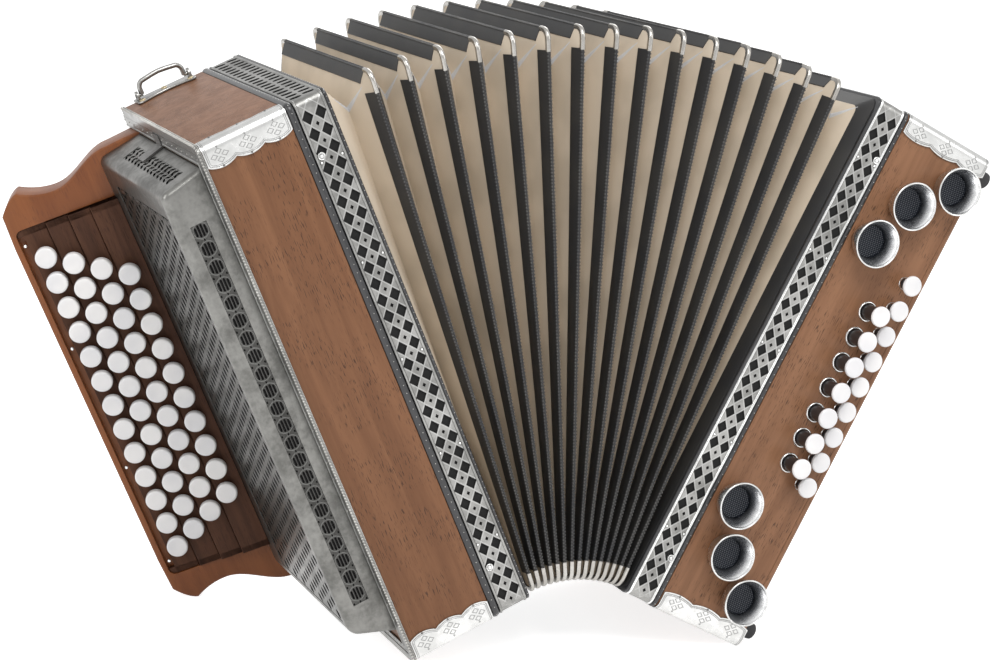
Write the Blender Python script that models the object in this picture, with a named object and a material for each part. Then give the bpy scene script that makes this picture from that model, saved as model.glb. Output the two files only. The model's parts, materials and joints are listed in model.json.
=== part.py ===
"""Diatonic button accordion with four treble rows, standing with its bellows fanned open.

Frame: +Z up, +X from the keyboard end to the bass end, -Y the front that the horns and bass buttons face.
The treble side is drawn with x = 0 on its keyboard face and x growing towards the bellows.
The bass side is drawn with x = 0 on its outer end face and x negative towards the bellows.
Both sides share y = 0 at mid depth and z = 0 at the bottom of their casing.
"""
import math

import bmesh
import bpy
from mathutils import Matrix, Vector

MM = 0.001

# Overall sizes, in millimetres like every size below
BODY_HEIGHT = 380.0
BODY_DEPTH = 192.0
GAP = 0.3
CORNER_RADIUS = 5.0
CORNER_STEPS = 3

# Casings
TREBLE_CASE_WIDTH = 61.0
BASS_CASE_WIDTH = 74.5
CASE_WALL = 7.0
END_COVER = 5.0
SOUND_BOARD = 5.0

# Bellows frames and the pierced bands round them
TREBLE_BEAD = 5.6
BASS_BEAD = 3.8
BAND_WIDTH = 21.2
FRAME_LIP = 2.0
FRAME_WALL = 9.0
FRAME_RECESS = 1.4
BEAD_RISE = 1.0
BAND_SHEET = 0.9
HOLE_HALF_X = 6.5
HOLE_HALF_Z = 8.5
HOLE_PITCH = 23.6

# Bellows
FOLDS = 15
GAPS_PER_SECTION = 4
FOLD_DEPTH = 28.0
BELLOWS_INSET = 2.0
BOTTOM_PITCH = 4.6
FOLD_ANGLE = 3.06
END_ANGLE = 4.2
CARD_SHIFT = 5.0
SIDE_STEPS = 3
PEAK_CHAMFER = 8.0
VALLEY_CHAMFER = 4.0

# Keyboard, inclined about the upright edge where it meets the casing
KEY_ANGLE = 20.0
KEY_FRONT_FROM_BACK = 30.0
KEY_BOARD_WIDTH = 107.0
KEY_BOARD_THICK = 21.0
KEY_TOP_DROP = 13.0
KEY_BOTTOM_RISE = 20.0
KEY_ROOT_RISE = 14.0
KEY_HORN = 3.5
OGEE_SCOOP = 18.0
OGEE_HUMP_DROP = 2.0
OGEE_HORN_RISE = 7.0
OGEE_COVE = 12.0
OGEE_COVE_LENGTH = 30.0
OGEE_HUMP_AT = 0.25
OGEE_SCOOP_AT = 0.66
OGEE_HORN_AT = 0.89
KEY_PITCH = 19.4
ROW_PITCH = 16.7
TREBLE_ROWS = 4
ROW_ONE_FROM_EDGE = 14.2
KEY_FIRST_DROP = 71.3
KEY_LAST_ROOM = 18.0
STEP_RISE = 2.8
STEP_BOARD_DROP = 49.0
STEP_BOARD_BOTTOM = 54.0
STEP_BOARD_EDGE = 5.2
STEP_BOARD_THICK = 4.0
STEP_RECESS = 1.0
LEVER_ROOM = 6.0
POCKET_LEDGE = 4.0
LEVER_CLEARANCE = 0.5
KEY_CAP_RADIUS = 7.55
KEY_CAP_TOP = 9.0
CAP_CLEARANCE = 0.5
KEY_SHAFT_RADIUS = 2.6
KEY_HOLE_CLEARANCE = 0.8
KEY_SEGMENTS = 10
KEY_TRAVEL = 3.5
LEVER_BAR_WIDTH = 8.0
LEVER_BAR_THICK = 2.6

# Hood over the treble valves
HOOD_REACH = 31.0
HOOD_FRONT_SETBACK = 11.0
HOOD_DROP_AT_CASE = 15.0
HOOD_DROP_AT_EDGE = 21.5
HOOD_BOTTOM_AT_CASE = 20.0
HOOD_BOTTOM_AT_EDGE = 33.0
HOOD_SHEET = 1.4
HOOD_CHAMFER = 4.0
HOOD_TOP_RADIUS = 6.0
HOOD_BOTTOM_RADIUS = 10.0
HOOD_SLOT_ROWS = 11
HOOD_SLOT_COLUMNS = 3
HOOD_SLOT_LENGTH = 22.0
HOOD_SLOT_WIDTH = 7.0
HOOD_SLOT_SLANT = 25.0
HOOD_SLOTS_FROM_SIDE = 10.0
HOOD_SLOTS_FROM_BOTTOM = 14.0
HOOD_SLOTS_FROM_TOP = 10.0
ROSETTES_FROM_SLOT_ENDS = 7.0
ROSETTES = 12
ROSETTE_RADIUS = 4.2
ROSETTE_FROM_CASE = 15.8
CLIP_SHEET = 1.4
CLIP_REACH = 17.0
CLIP_RISE = 9.0
CLIP_START = 2.0
CLIP_WIDTH = 14.0

# Scalloped corner plates and the trim round the keyboard face
PLATE_SHEET = 0.8
PLATE_LOBES = 3
PLATE_FRONT_REACH = 14.5
PLATE_LOBE_DROP = 5.5
PLATE_TOP_REACH = 9.0
PLATE_TOP_LOBE = 2.5
PLATE_STEPS = 4
TRIM_SHEET = 1.0
TRIM_FACE = 3.2
TRIM_SIDE = 2.4

# Strap bracket on the treble top
BRACKET_LENGTH = 44.0
BRACKET_WIDTH = 15.0
BRACKET_SHEET = 1.6
BRACKET_WAIST = 4.5
BRACKET_FROM_BACK = 3.0
BAIL_SPAN = 32.0
BAIL_RISE = 15.0
BAIL_ROD = 2.3
BAIL_BOW = 3.0
BAIL_EAR = 3.4
BAIL_EAR_SHEET = 1.8
BAIL_CORNER = 5.0
BAIL_PIN_SHARE = 0.6
BAIL_LIFT = 0.6

# Horns, on the bass front: distance from the outer end, then from the nearer end of the casing
HORN_PLACES = ((21.8, 30.8), (48.6, 55.0), (61.0, 89.5))
HORN_RIM_RADIUS = 17.7
HORN_NECK_RADIUS = 9.5
HORN_RISE = 18.0
HORN_WALL = 1.1
HORN_SEGMENTS = 16
HORN_STEPS = 3

# Bass buttons
BASS_PITCH = 19.6
BASS_OUTER_FROM_END = 16.4
BASS_ROW_PITCH = 16.7
BASS_OUTER_COUNT = 9
BASS_INNER_COUNT = 7
BASS_CENTRE_RISE = 9.0
BASS_CAP_RADIUS = 7.7
BASS_OUTER_TOP = 11.5
BASS_INNER_TOP = 20.0
BASS_CAP_HEIGHT = 5.5
BASS_OUTER_SHAFT = 3.5
BASS_INNER_SHAFT = 5.4
BASS_HOLE_CLEARANCE = 0.6
BASS_SEGMENTS = 10
BASS_COLLAR = 1.8
FERRULE_RISE = 1.6
FERRULE_WALL = 1.75

# Feet, hand strap and air button
FOOT_RADIUS = 6.0
FOOT_HEIGHT = 12.0
FOOT_BEVEL = 1.5
FOOT_INSET = 12.0
FOOT_SEGMENTS = 12
STRAP_WIDTH = 50.0
STRAP_THICK = 4.0
STRAP_BULGE = 24.0
STRAP_LOW = 70.0
STRAP_TOP_DROP = 68.0
STRAP_END = 18.0
STRAP_Y = 28.0
AIR_FROM_TOP = 96.0
AIR_FROM_END = 30.0
AIR_RADIUS = 8.0
AIR_TOP = 7.0
AIR_TRAVEL = 3.5

# Reed blocks behind the sound boards
REED_BLOCK_WIDTH = 30.0
REED_BLOCK_HEIGHT = 34.0
REED_BLOCK_LENGTH = 264.0
REED_BLOCK_SPACING = 42.0
REED_NOTCHES = 6

TREBLE_FRAME_WIDTH = TREBLE_BEAD + BAND_WIDTH + FRAME_LIP
BASS_FRAME_WIDTH = BASS_BEAD + BAND_WIDTH + FRAME_LIP
TREBLE_WIDTH = TREBLE_CASE_WIDTH + TREBLE_FRAME_WIDTH
BASS_WIDTH = BASS_CASE_WIDTH + BASS_FRAME_WIDTH
HALF_DEPTH = BODY_DEPTH / 2
BELLOWS_HEIGHT = BODY_HEIGHT - 2 * BELLOWS_INSET
BELLOWS_HALF_DEPTH = HALF_DEPTH - BELLOWS_INSET
FAN_ANGLE = 2 * END_ANGLE + (FOLDS - 1) * FOLD_ANGLE
KEY_FIRST_Z = BODY_HEIGHT - KEY_FIRST_DROP
ROW_ONE_COUNT = int((KEY_FIRST_Z - STEP_BOARD_BOTTOM - KEY_LAST_ROOM) / KEY_PITCH) + 1
STEP_BOARD_TOP = BODY_HEIGHT - STEP_BOARD_DROP
HOOD_TOP_AT_CASE = BODY_HEIGHT - HOOD_DROP_AT_CASE
HOOD_TOP_AT_EDGE = BODY_HEIGHT - HOOD_DROP_AT_EDGE
BASS_CENTRE_Z = BODY_HEIGHT / 2 + BASS_CENTRE_RISE
STRAP_HIGH = BODY_HEIGHT - STRAP_TOP_DROP

COS_KEY = math.cos(math.radians(KEY_ANGLE))
SIN_KEY = math.sin(math.radians(KEY_ANGLE))


# Materials

def material(name, colour, roughness, metallic=0.0):
    """A Principled material of one colour."""
    made = bpy.data.materials.new(name)
    made.use_nodes = True
    shader = made.node_tree.nodes["Principled BSDF"]
    shader.inputs["Base Color"].default_value = (*colour, 1.0)
    shader.inputs["Roughness"].default_value = roughness
    shader.inputs["Metallic"].default_value = metallic
    return made


# Mesh helpers. Each takes millimetres in its parent's frame.

def finish_mesh(name, mesh_data, parent, finish, smooth_angle=None):
    """Turns a bmesh into a named object under its parent, faces pointing out."""
    bmesh.ops.remove_doubles(mesh_data, verts=mesh_data.verts, dist=1e-6)
    bmesh.ops.recalc_face_normals(mesh_data, faces=mesh_data.faces)
    mesh = bpy.data.meshes.new(name)
    mesh_data.to_mesh(mesh)
    mesh_data.free()
    made = bpy.data.objects.new(name, mesh)
    bpy.context.scene.collection.objects.link(made)
    made.parent = parent
    mesh.materials.append(finish)
    if smooth_angle:
        mesh.shade_smooth()
        mesh.set_sharp_from_angle(angle=math.radians(smooth_angle))
    return made


def add_loops(mesh_data, loops, closed=False, capped=True):
    """Skins successive loops of equal length; closed joins the last loop to the first."""
    rings = [[mesh_data.verts.new(Vector(point) * MM) for point in loop] for loop in loops]
    count = len(rings[0])
    pairs = list(zip(rings, rings[1:]))
    if closed:
        pairs.append((rings[-1], rings[0]))
    for first, second in pairs:
        for index in range(count):
            after = (index + 1) % count
            mesh_data.faces.new((first[index], first[after], second[after], second[index]))
    if capped and not closed:
        mesh_data.faces.new(rings[0])
        mesh_data.faces.new(list(reversed(rings[-1])))


def set_origin(item, point):
    """Moves an object's origin to a point of its parent's frame and leaves its shape where it is."""
    place = Vector(point) * MM
    item.data.transform(Matrix.Translation(-place))
    item.location = place


def loft(name, loops, parent, finish, closed=False, smooth_angle=None):
    """An object skinned over loops."""
    mesh_data = bmesh.new()
    add_loops(mesh_data, loops, closed)
    return finish_mesh(name, mesh_data, parent, finish, smooth_angle)


def prism(name, outline, low, high, place, parent, finish, smooth_angle=None):
    """A flat outline pushed from low to high; place turns (u, v, w) into a point."""
    loops = [[place(u, v, w) for u, v in outline] for w in (low, high)]
    return loft(name, loops, parent, finish, smooth_angle=smooth_angle)


def rounded_loop(x, grow, radius=CORNER_RADIUS, steps=CORNER_STEPS):
    """The casing's rounded rectangle at one x, grown outwards, as a loop of points."""
    half, low, high = HALF_DEPTH + grow, -grow, BODY_HEIGHT + grow
    turn = max(radius + grow, 0.4)
    centres = ((half - turn, high - turn, 0), (-half + turn, high - turn, 90),
               (-half + turn, low + turn, 180), (half - turn, low + turn, 270))
    loop = []
    for centre_y, centre_z, start in centres:
        for step in range(steps + 1):
            angle = math.radians(start + 90 * step / steps)
            loop.append((x, centre_y + turn * math.cos(angle), centre_z + turn * math.sin(angle)))
    return loop


def ring_from_profile(name, profile, parent, finish, smooth_angle=35):
    """Sweeps a closed profile of (x, grow) points round the casing's outline."""
    return loft(name, [rounded_loop(x, grow) for x, grow in profile], parent, finish, True, smooth_angle)


def turned(name, profile, centre, axis, parent, finish, segments=16):
    """A solid turned about an axis, its origin at centre; the profile is (along, radius)."""
    forward = Vector(axis).normalized()
    side = forward.orthogonal().normalized()
    across = forward.cross(side)
    mesh_data = bmesh.new()
    rings = []
    for along, radius in profile:
        middle = forward * along
        if radius == 0:
            rings.append([mesh_data.verts.new(middle * MM)])
            continue
        angles = (2 * math.pi * step / segments for step in range(segments))
        rings.append([mesh_data.verts.new((middle + side * radius * math.cos(a)
                                           + across * radius * math.sin(a)) * MM) for a in angles])
    for first, second in zip(rings, rings[1:]):
        for index in range(segments):
            after = (index + 1) % segments
            if len(first) == 1:
                mesh_data.faces.new((first[0], second[index], second[after]))
            elif len(second) == 1:
                mesh_data.faces.new((first[index], second[0], first[after]))
            else:
                mesh_data.faces.new((first[index], second[index], second[after], first[after]))
    made = finish_mesh(name, mesh_data, parent, finish, 40)
    made.location = Vector(centre) * MM
    return made


def cutter(name, build, parent):
    """A closed guide made by build(mesh_data), hidden from the build."""
    mesh_data = bmesh.new()
    build(mesh_data)
    bmesh.ops.recalc_face_normals(mesh_data, faces=mesh_data.faces)
    mesh = bpy.data.meshes.new(name)
    mesh_data.to_mesh(mesh)
    mesh_data.free()
    made = bpy.data.objects.new(name, mesh)
    bpy.context.scene.collection.objects.link(made)
    made.parent = parent
    made.hide_render = True
    made.display_type = "WIRE"
    return made


def add_boolean(target, tool, operation="DIFFERENCE"):
    """Adds an exact Boolean to the target."""
    modifier = target.modifiers.new(operation.title(), "BOOLEAN")
    modifier.operation = operation
    modifier.solver = "EXACT"
    modifier.object = tool


def add_prism(mesh_data, outline, low, high, place):
    """Adds a closed prism to a bmesh."""
    add_loops(mesh_data, [[place(u, v, w) for u, v in outline] for w in (low, high)])


def circle(radius, segments, turn=0.0):
    """Points of a regular polygon."""
    return [(radius * math.cos(turn + 2 * math.pi * k / segments),
             radius * math.sin(turn + 2 * math.pi * k / segments)) for k in range(segments)]


def box_outline(left, right, low, high):
    """A rectangle's four corners."""
    return [(left, low), (right, low), (right, high), (left, high)]


# Frames of the main assemblies

def empty(name, parent=None):
    """A frame that carries other pieces."""
    made = bpy.data.objects.new(name, None)
    bpy.context.scene.collection.objects.link(made)
    made.parent = parent
    return made


def fan_plane(index):
    """The lean of fold plane 0 (treble frame) to FOLDS + 1 (bass frame), in degrees from the treble's."""
    if index <= 0:
        return 0.0
    if index > FOLDS:
        return FAN_ANGLE
    return END_ANGLE + (index - 1) * FOLD_ANGLE


def fan_points(tilt):
    """The outer bottom point of each fold plane as (x, z), in the treble's upright frame turned by tilt."""
    angle = math.radians(-tilt)
    x = TREBLE_WIDTH * math.cos(angle) + BELLOWS_INSET * math.sin(angle)
    z = -TREBLE_WIDTH * math.sin(angle) + BELLOWS_INSET * math.cos(angle)
    points = [(x, z)]
    for index in range(FOLDS + 1):
        middle = math.radians(-tilt + (fan_plane(index) + fan_plane(index + 1)) / 2)
        x += BOTTOM_PITCH * math.cos(middle)
        z -= BOTTOM_PITCH * math.sin(middle)
        points.append((x, z))
    return points


def bass_corner(tilt):
    """The bass casing's outer bottom corner as (x, z)."""
    x, z = fan_points(tilt)[-1]
    lean = math.radians(FAN_ANGLE - tilt)
    return (x + BASS_WIDTH * math.cos(lean) - BELLOWS_INSET * math.sin(lean),
            z - BASS_WIDTH * math.sin(lean) - BELLOWS_INSET * math.cos(lean))


def keyboard_outline():
    """The key board's ogee outline as (s, z), s outwards from the casing in the board's plane."""
    top, bottom = BODY_HEIGHT - KEY_TOP_DROP, KEY_BOTTOM_RISE
    upper = ogee()
    right = [(s, top - drop) for s, drop in upper]
    left = [(s, bottom + drop) for s, drop in reversed(upper)]
    left[-1] = (0.0, KEY_ROOT_RISE)
    return right + left


def ogee():
    """One end of the board: a hump by the casing, a scoop, a blunt horn and a cove at the corner."""
    points = [(0.0, 0.0)]
    width, hump_steps, steps = KEY_BOARD_WIDTH, 6, 4
    hump, scoop, horn = OGEE_HUMP_AT * width, OGEE_SCOOP_AT * width, OGEE_HORN_AT * width
    for step in range(hump_steps + 1):
        share = step / hump_steps
        fall = (OGEE_SCOOP - OGEE_HUMP_DROP) * (1 - math.cos(math.pi * share)) / 2
        points.append((hump + (scoop - hump) * share, OGEE_HUMP_DROP + fall))
    for step in range(1, steps + 1):
        share = step / steps
        points.append((scoop + (horn - scoop) * share, OGEE_SCOOP - OGEE_HORN_RISE * share * share))
    for step in range(1, steps + 1):
        share = step / steps
        points.append((horn + (width + KEY_HORN - horn) * share,
                       OGEE_SCOOP - OGEE_HORN_RISE + OGEE_COVE * share ** 1.6))
    points.append((width, OGEE_SCOOP + OGEE_COVE_LENGTH))
    return points


def standing_tilt():
    """The treble's lean at which the key board's lower edge and the bass's outer edge stand level."""
    def difference(tilt):
        angle = math.radians(tilt)
        board = min(-s * COS_KEY * math.sin(angle) + z * math.cos(angle) for s, z in keyboard_outline())
        lean = math.radians(FAN_ANGLE - tilt)
        plate = GAP * math.sin(lean) - (GAP + PLATE_SHEET) * math.cos(lean)
        return bass_corner(tilt)[1] + plate - board
    low, high = FAN_ANGLE / 2 - 20, FAN_ANGLE / 2 + 20
    for _ in range(60):
        middle = (low + high) / 2
        if difference(middle) > 0:
            high = middle
        else:
            low = middle
    return (low + high) / 2


# Treble side

def key_place(s, z, n):
    """A point of the inclined key board: s from the casing, n out of the front; it stops at the casing."""
    nearest = (GAP - n * SIN_KEY) / COS_KEY
    s = max(s, nearest)
    front = HALF_DEPTH - KEY_FRONT_FROM_BACK
    return (-s * COS_KEY - n * SIN_KEY, front + s * SIN_KEY - n * COS_KEY, z)


def row_place(row):
    """The in-plane distance from the casing of a button row, 0 being the outer one, and its surface."""
    s = KEY_BOARD_WIDTH - ROW_ONE_FROM_EDGE - row * ROW_PITCH
    return s, STEP_RISE * (row + 1) - STEP_RECESS - STEP_RISE


def row_heights(row):
    """The z of each button in a row."""
    first = KEY_FIRST_Z - row * KEY_PITCH / 2
    return [first - k * KEY_PITCH for k in range(ROW_ONE_COUNT - row)]


def make_treble_casing(parent, finish):
    """A cup, closed at the keyboard face and open to the bellows."""
    wall, width = CASE_WALL, TREBLE_CASE_WIDTH
    loops = [rounded_loop(x, grow) for x, grow in ((0, 0), (width, 0), (width, -wall), (wall, -wall))]
    return loft("treble_casing", loops, parent, finish, smooth_angle=35)


def frame_profile(start, bead, direction):
    """A bellows frame's section from the casing outwards: bead, seat for the band and lip."""
    def at(distance):
        return start + direction * distance
    width = bead + BAND_WIDTH + FRAME_LIP
    steps = 4
    profile = [(at(GAP), -FRAME_WALL), (at(GAP), 0.0)]
    for step in range(1, steps):
        share = step / steps
        profile.append((at(GAP + (bead - GAP) * share), BEAD_RISE * math.sin(math.pi * share)))
    profile += [(at(bead), 0.0), (at(bead), -FRAME_RECESS), (at(bead + BAND_WIDTH), -FRAME_RECESS),
                (at(bead + BAND_WIDTH), 0.0), (at(width), 0.0), (at(width), -FRAME_WALL)]
    return profile


def make_band(name, first, last, parent, finish):
    """The pierced metal band: a thin ring with a row of rhombs through its front and back."""
    low, high = min(first, last) + GAP, max(first, last) - GAP
    inner = -FRAME_RECESS + GAP
    profile = [(low, inner), (high, inner), (high, inner + BAND_SHEET), (low, inner + BAND_SHEET)]
    band = ring_from_profile(name, profile, parent, finish)
    middle = (low + high) / 2
    rows = int((BODY_HEIGHT - 2 * CORNER_RADIUS) / HOLE_PITCH)
    first_z = BODY_HEIGHT / 2 - (rows - 1) * HOLE_PITCH / 2
    reach = HALF_DEPTH + 5

    def holes(mesh_data):
        for row in range(rows):
            z = first_z + row * HOLE_PITCH
            rhomb = [(middle + HOLE_HALF_X, z), (middle, z + HOLE_HALF_Z),
                     (middle - HOLE_HALF_X, z), (middle, z - HOLE_HALF_Z)]
            for low_y, high_y in ((-reach, -reach + 10), (reach - 10, reach)):
                add_prism(mesh_data, rhomb, low_y, high_y, lambda u, v, w: (u, w, v))
    add_boolean(band, cutter(name + "_holes", holes, parent))
    return band


def hood_outline(inset):
    """The hood's outline seen from the front as (x, z), shrunk by inset on its three free sides."""
    far = -HOOD_REACH + inset
    slope_top = (HOOD_TOP_AT_CASE - HOOD_TOP_AT_EDGE) / HOOD_REACH
    slope_low = (HOOD_BOTTOM_AT_EDGE - HOOD_BOTTOM_AT_CASE) / HOOD_REACH
    near = -GAP

    def top(x):
        return HOOD_TOP_AT_CASE + slope_top * x - inset

    def low(x):
        return HOOD_BOTTOM_AT_CASE - slope_low * x + inset
    points = [(near, top(near))]
    points += fillet((near, top(near)), (far, top(far)), (far, low(far)), HOOD_TOP_RADIUS - inset / 2)
    points += fillet((far, top(far)), (far, low(far)), (near, low(near)), HOOD_BOTTOM_RADIUS - inset / 2)
    points.append((near, low(near)))
    return points


def fillet(before, corner, after, radius, steps=3):
    """Points of an arc that rounds one corner of a flat outline."""
    corner = Vector(corner)
    back = (Vector(before) - corner).normalized()
    ahead = (Vector(after) - corner).normalized()
    half = back.angle(ahead) / 2
    reach = radius / math.tan(half)
    centre = corner + (back + ahead).normalized() * (radius / math.sin(half))
    start = corner + back * reach - centre
    sweep = start.angle_signed(corner + ahead * reach - centre)
    points = []
    for step in range(steps + 1):
        arm = start.copy()
        arm.rotate(Matrix.Rotation(-sweep * step / steps, 2))
        points.append(tuple(centre + arm))
    return points


def hood_back(x, clearance):
    """The y at which the hood meets the inclined board at this x."""
    front = HALF_DEPTH - KEY_FRONT_FROM_BACK
    return front - x * SIN_KEY / COS_KEY - clearance / COS_KEY


def make_hood(parent, finish):
    """The valve hood: a folded sheet, open to the casing and the key board, with slots and rosettes."""
    front = -HALF_DEPTH + HOOD_FRONT_SETBACK
    edge, full = hood_outline(HOOD_CHAMFER), hood_outline(0)
    loops = [[(x, front, z) for x, z in edge], [(x, front + HOOD_CHAMFER, z) for x, z in full],
             [(x, hood_back(x, GAP), z) for x, z in full]]
    hood = loft("hood", loops, parent, finish, smooth_angle=40)

    def hollow(mesh_data):
        inner_edge, inner_full = hood_outline(HOOD_CHAMFER + HOOD_SHEET), hood_outline(HOOD_SHEET)
        inner_front = front + HOOD_SHEET

        def open_side(points):
            return [(5.0, points[0][1])] + points[1:-1] + [(5.0, points[-1][1])]
        inner_edge, inner_full = open_side(inner_edge), open_side(inner_full)
        add_loops(mesh_data, [[(x, inner_front, z) for x, z in inner_edge],
                              [(x, inner_front + HOOD_CHAMFER, z) for x, z in inner_full],
                              [(x, hood_back(x, -10.0), z) for x, z in inner_full]])
    add_boolean(hood, cutter("hood_hollow", hollow, parent))
    add_boolean(hood, cutter("hood_slots", hood_slots, parent))
    return hood


def hood_slots(mesh_data):
    """Slanted slots through the outer face, and one round opening per rosette through the front."""
    front = -HALF_DEPTH + HOOD_FRONT_SETBACK + HOOD_SLOTS_FROM_SIDE
    back = hood_back(-HOOD_REACH, 0) - HOOD_SLOTS_FROM_SIDE
    low, high = HOOD_BOTTOM_AT_EDGE + HOOD_SLOTS_FROM_BOTTOM, HOOD_TOP_AT_EDGE - HOOD_SLOTS_FROM_TOP
    column_step = (back - front) / HOOD_SLOT_COLUMNS
    row_step = (high - low) / HOOD_SLOT_ROWS
    slant = math.radians(HOOD_SLOT_SLANT)
    for column in range(HOOD_SLOT_COLUMNS):
        for row in range(HOOD_SLOT_ROWS):
            y = front + (column + 0.5) * column_step
            z = low + (row + 0.5) * row_step
            lean = slant if (row + column) % 2 else -slant
            along = Vector((math.sin(lean), math.cos(lean))) * HOOD_SLOT_LENGTH / 2
            aside = Vector((math.cos(lean), -math.sin(lean))) * HOOD_SLOT_WIDTH / 2
            slot = [(y + p.x, z + p.y) for p in (along, aside, -along, -aside)]
            add_prism(mesh_data, slot, -HOOD_REACH - 3, -HOOD_REACH + 3, lambda u, v, w: (w, u, v))
    front_y = -HALF_DEPTH + HOOD_FRONT_SETBACK
    step = (high - low - 2 * ROSETTES_FROM_SLOT_ENDS) / ROSETTES
    for index in range(ROSETTES):
        z = low + ROSETTES_FROM_SLOT_ENDS + (index + 0.5) * step
        ring = [(u - ROSETTE_FROM_CASE, v + z) for u, v in circle(ROSETTE_RADIUS, 6)]
        add_prism(mesh_data, ring, front_y - 3, front_y + 4, lambda u, v, w: (u, w, v))


def make_hood_clip(parent, finish):
    """The small bent clip that holds the hood's top to the casing."""
    slope = (HOOD_TOP_AT_CASE - HOOD_TOP_AT_EDGE) / HOOD_REACH
    sheet, near, far = CLIP_SHEET, -GAP, -CLIP_REACH
    top = HOOD_TOP_AT_CASE + GAP
    outline = [(near, top + CLIP_RISE), (near, top + slope * near), (far, top + slope * far),
               (far, top + slope * far + sheet), (near - sheet, top + sheet),
               (near - sheet, top + CLIP_RISE)]
    end = CLIP_START + CLIP_WIDTH
    prism("hood_clip", outline, CLIP_START, end, lambda u, v, w: (u, w, v), parent, finish)


def make_keyboard_body(parent, finish):
    """The wooden key board with its pocket for the levers."""
    board = prism("keyboard_body", keyboard_outline(), -KEY_BOARD_THICK, 0.0, key_place, parent, finish, 30)
    edge = KEY_BOARD_WIDTH - STEP_BOARD_EDGE
    depth = STEP_RECESS + STEP_BOARD_THICK + GAP

    def pockets(mesh_data):
        seat = box_outline(-5.0, edge + GAP, STEP_BOARD_BOTTOM - GAP, STEP_BOARD_TOP + GAP)
        add_prism(mesh_data, seat, -depth, 5.0, pocket_place)

    def levers(mesh_data):
        room = box_outline(step_inner_edge(0.0) + POCKET_LEDGE, edge - POCKET_LEDGE,
                           STEP_BOARD_BOTTOM + POCKET_LEDGE, STEP_BOARD_TOP - POCKET_LEDGE)
        floor = -depth - LEVER_BAR_THICK - KEY_TRAVEL - LEVER_ROOM
        add_prism(mesh_data, room, floor, 0.0, pocket_place)
    add_boolean(board, cutter("step_seat", pockets, parent))
    add_boolean(board, cutter("lever_room", levers, parent))


def step_inner_edge(n):
    """Where the stepped board ends beside the hood, at height n."""
    return (HOOD_REACH + GAP - n * SIN_KEY) / COS_KEY


def pocket_place(s, z, n):
    """As key_place, but ending beside the hood's outer wall."""
    s = max(s, step_inner_edge(n) - GAP)
    front = HALF_DEPTH - KEY_FRONT_FROM_BACK
    return (-s * COS_KEY - n * SIN_KEY, front + s * SIN_KEY - n * COS_KEY, z)


def step_place(s, z, n):
    """As key_place, but ending a clearance off the hood's outer wall."""
    s = max(s, step_inner_edge(n))
    front = HALF_DEPTH - KEY_FRONT_FROM_BACK
    return (-s * COS_KEY - n * SIN_KEY, front + s * SIN_KEY - n * COS_KEY, z)


def make_step_board(parent, finish):
    """The dark stepped board: one tread for each button row, bored for the shafts."""
    edge = KEY_BOARD_WIDTH - STEP_BOARD_EDGE
    under = -STEP_RECESS - STEP_BOARD_THICK
    section = [(0.0, under), (edge, under)]
    s = edge
    for row in range(TREBLE_ROWS):
        surface = row_place(row)[1]
        following = row_place(row)[0] - ROW_PITCH / 2
        section.append((s, surface))
        s = 0.0 if row == TREBLE_ROWS - 1 else following
        section.append((s, surface))
    board = prism("keyboard_steps", section, STEP_BOARD_BOTTOM, STEP_BOARD_TOP,
                  lambda u, v, w: step_place(u, w, v), parent, finish)

    def bores(mesh_data):
        radius = KEY_SHAFT_RADIUS + KEY_HOLE_CLEARANCE
        for row in range(TREBLE_ROWS):
            s_row = row_place(row)[0]
            for z in row_heights(row):
                ring = [(s_row + u, z + v) for u, v in circle(radius, 6)]
                add_prism(mesh_data, ring, under - 2, 16.0, key_place)
    add_boolean(board, cutter("step_bores", bores, parent))


def make_button_row(row, parent, finish):
    """One row of pearl buttons on their shafts, with the lever bar that carries them."""
    s_row, surface = row_place(row)
    heights = row_heights(row)
    top = -STEP_RECESS - STEP_BOARD_THICK - LEVER_CLEARANCE
    half = LEVER_BAR_WIDTH / 2
    outline = box_outline(s_row - half, s_row + half, heights[-1] - half, heights[0] + half)
    name = f"treble_buttons_row_{row + 1}"
    bar = prism(name, outline, top - LEVER_BAR_THICK, top, key_place, parent, finish, 40)
    set_origin(bar, key_place(s_row, (heights[0] + heights[-1]) / 2, surface))

    def stems(mesh_data):
        cap_low, cap_high = surface + KEY_TRAVEL + CAP_CLEARANCE, surface + KEY_CAP_TOP
        levels = ((top - LEVER_BAR_THICK / 2, KEY_SHAFT_RADIUS), (cap_low, KEY_SHAFT_RADIUS),
                  (cap_low, KEY_CAP_RADIUS), (cap_high, KEY_CAP_RADIUS - 0.5))
        for z in heights:
            add_loops(mesh_data, [[key_place(s_row + u, z + v, n) for u, v in circle(radius, KEY_SEGMENTS)]
                                  for n, radius in levels])
    add_boolean(bar, cutter(f"row_{row + 1}_stems", stems, parent), "UNION")


def make_trim(parent, finish):
    """The beaded angle strip round the top, front and bottom of the keyboard face."""
    high, low, half = BODY_HEIGHT, 0.0, HALF_DEPTH
    clear = GAP
    path = ((half - 6, high, 0, 1), (-half, high, -1, 1), (-half, low, -1, -1), (half - 6, low, 0, -1))
    section = ((-clear - TRIM_SHEET, -TRIM_SIDE), (-clear - TRIM_SHEET, clear + TRIM_SHEET),
               (TRIM_FACE, clear + TRIM_SHEET), (TRIM_FACE, clear), (-clear, clear), (-clear, -TRIM_SIDE))
    loops = [[(x, y + grow * out_y, z + grow * out_z) for x, grow in section] for y, z, out_y, out_z in path]
    loft("treble_edge_trim", loops, parent, finish)


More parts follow.
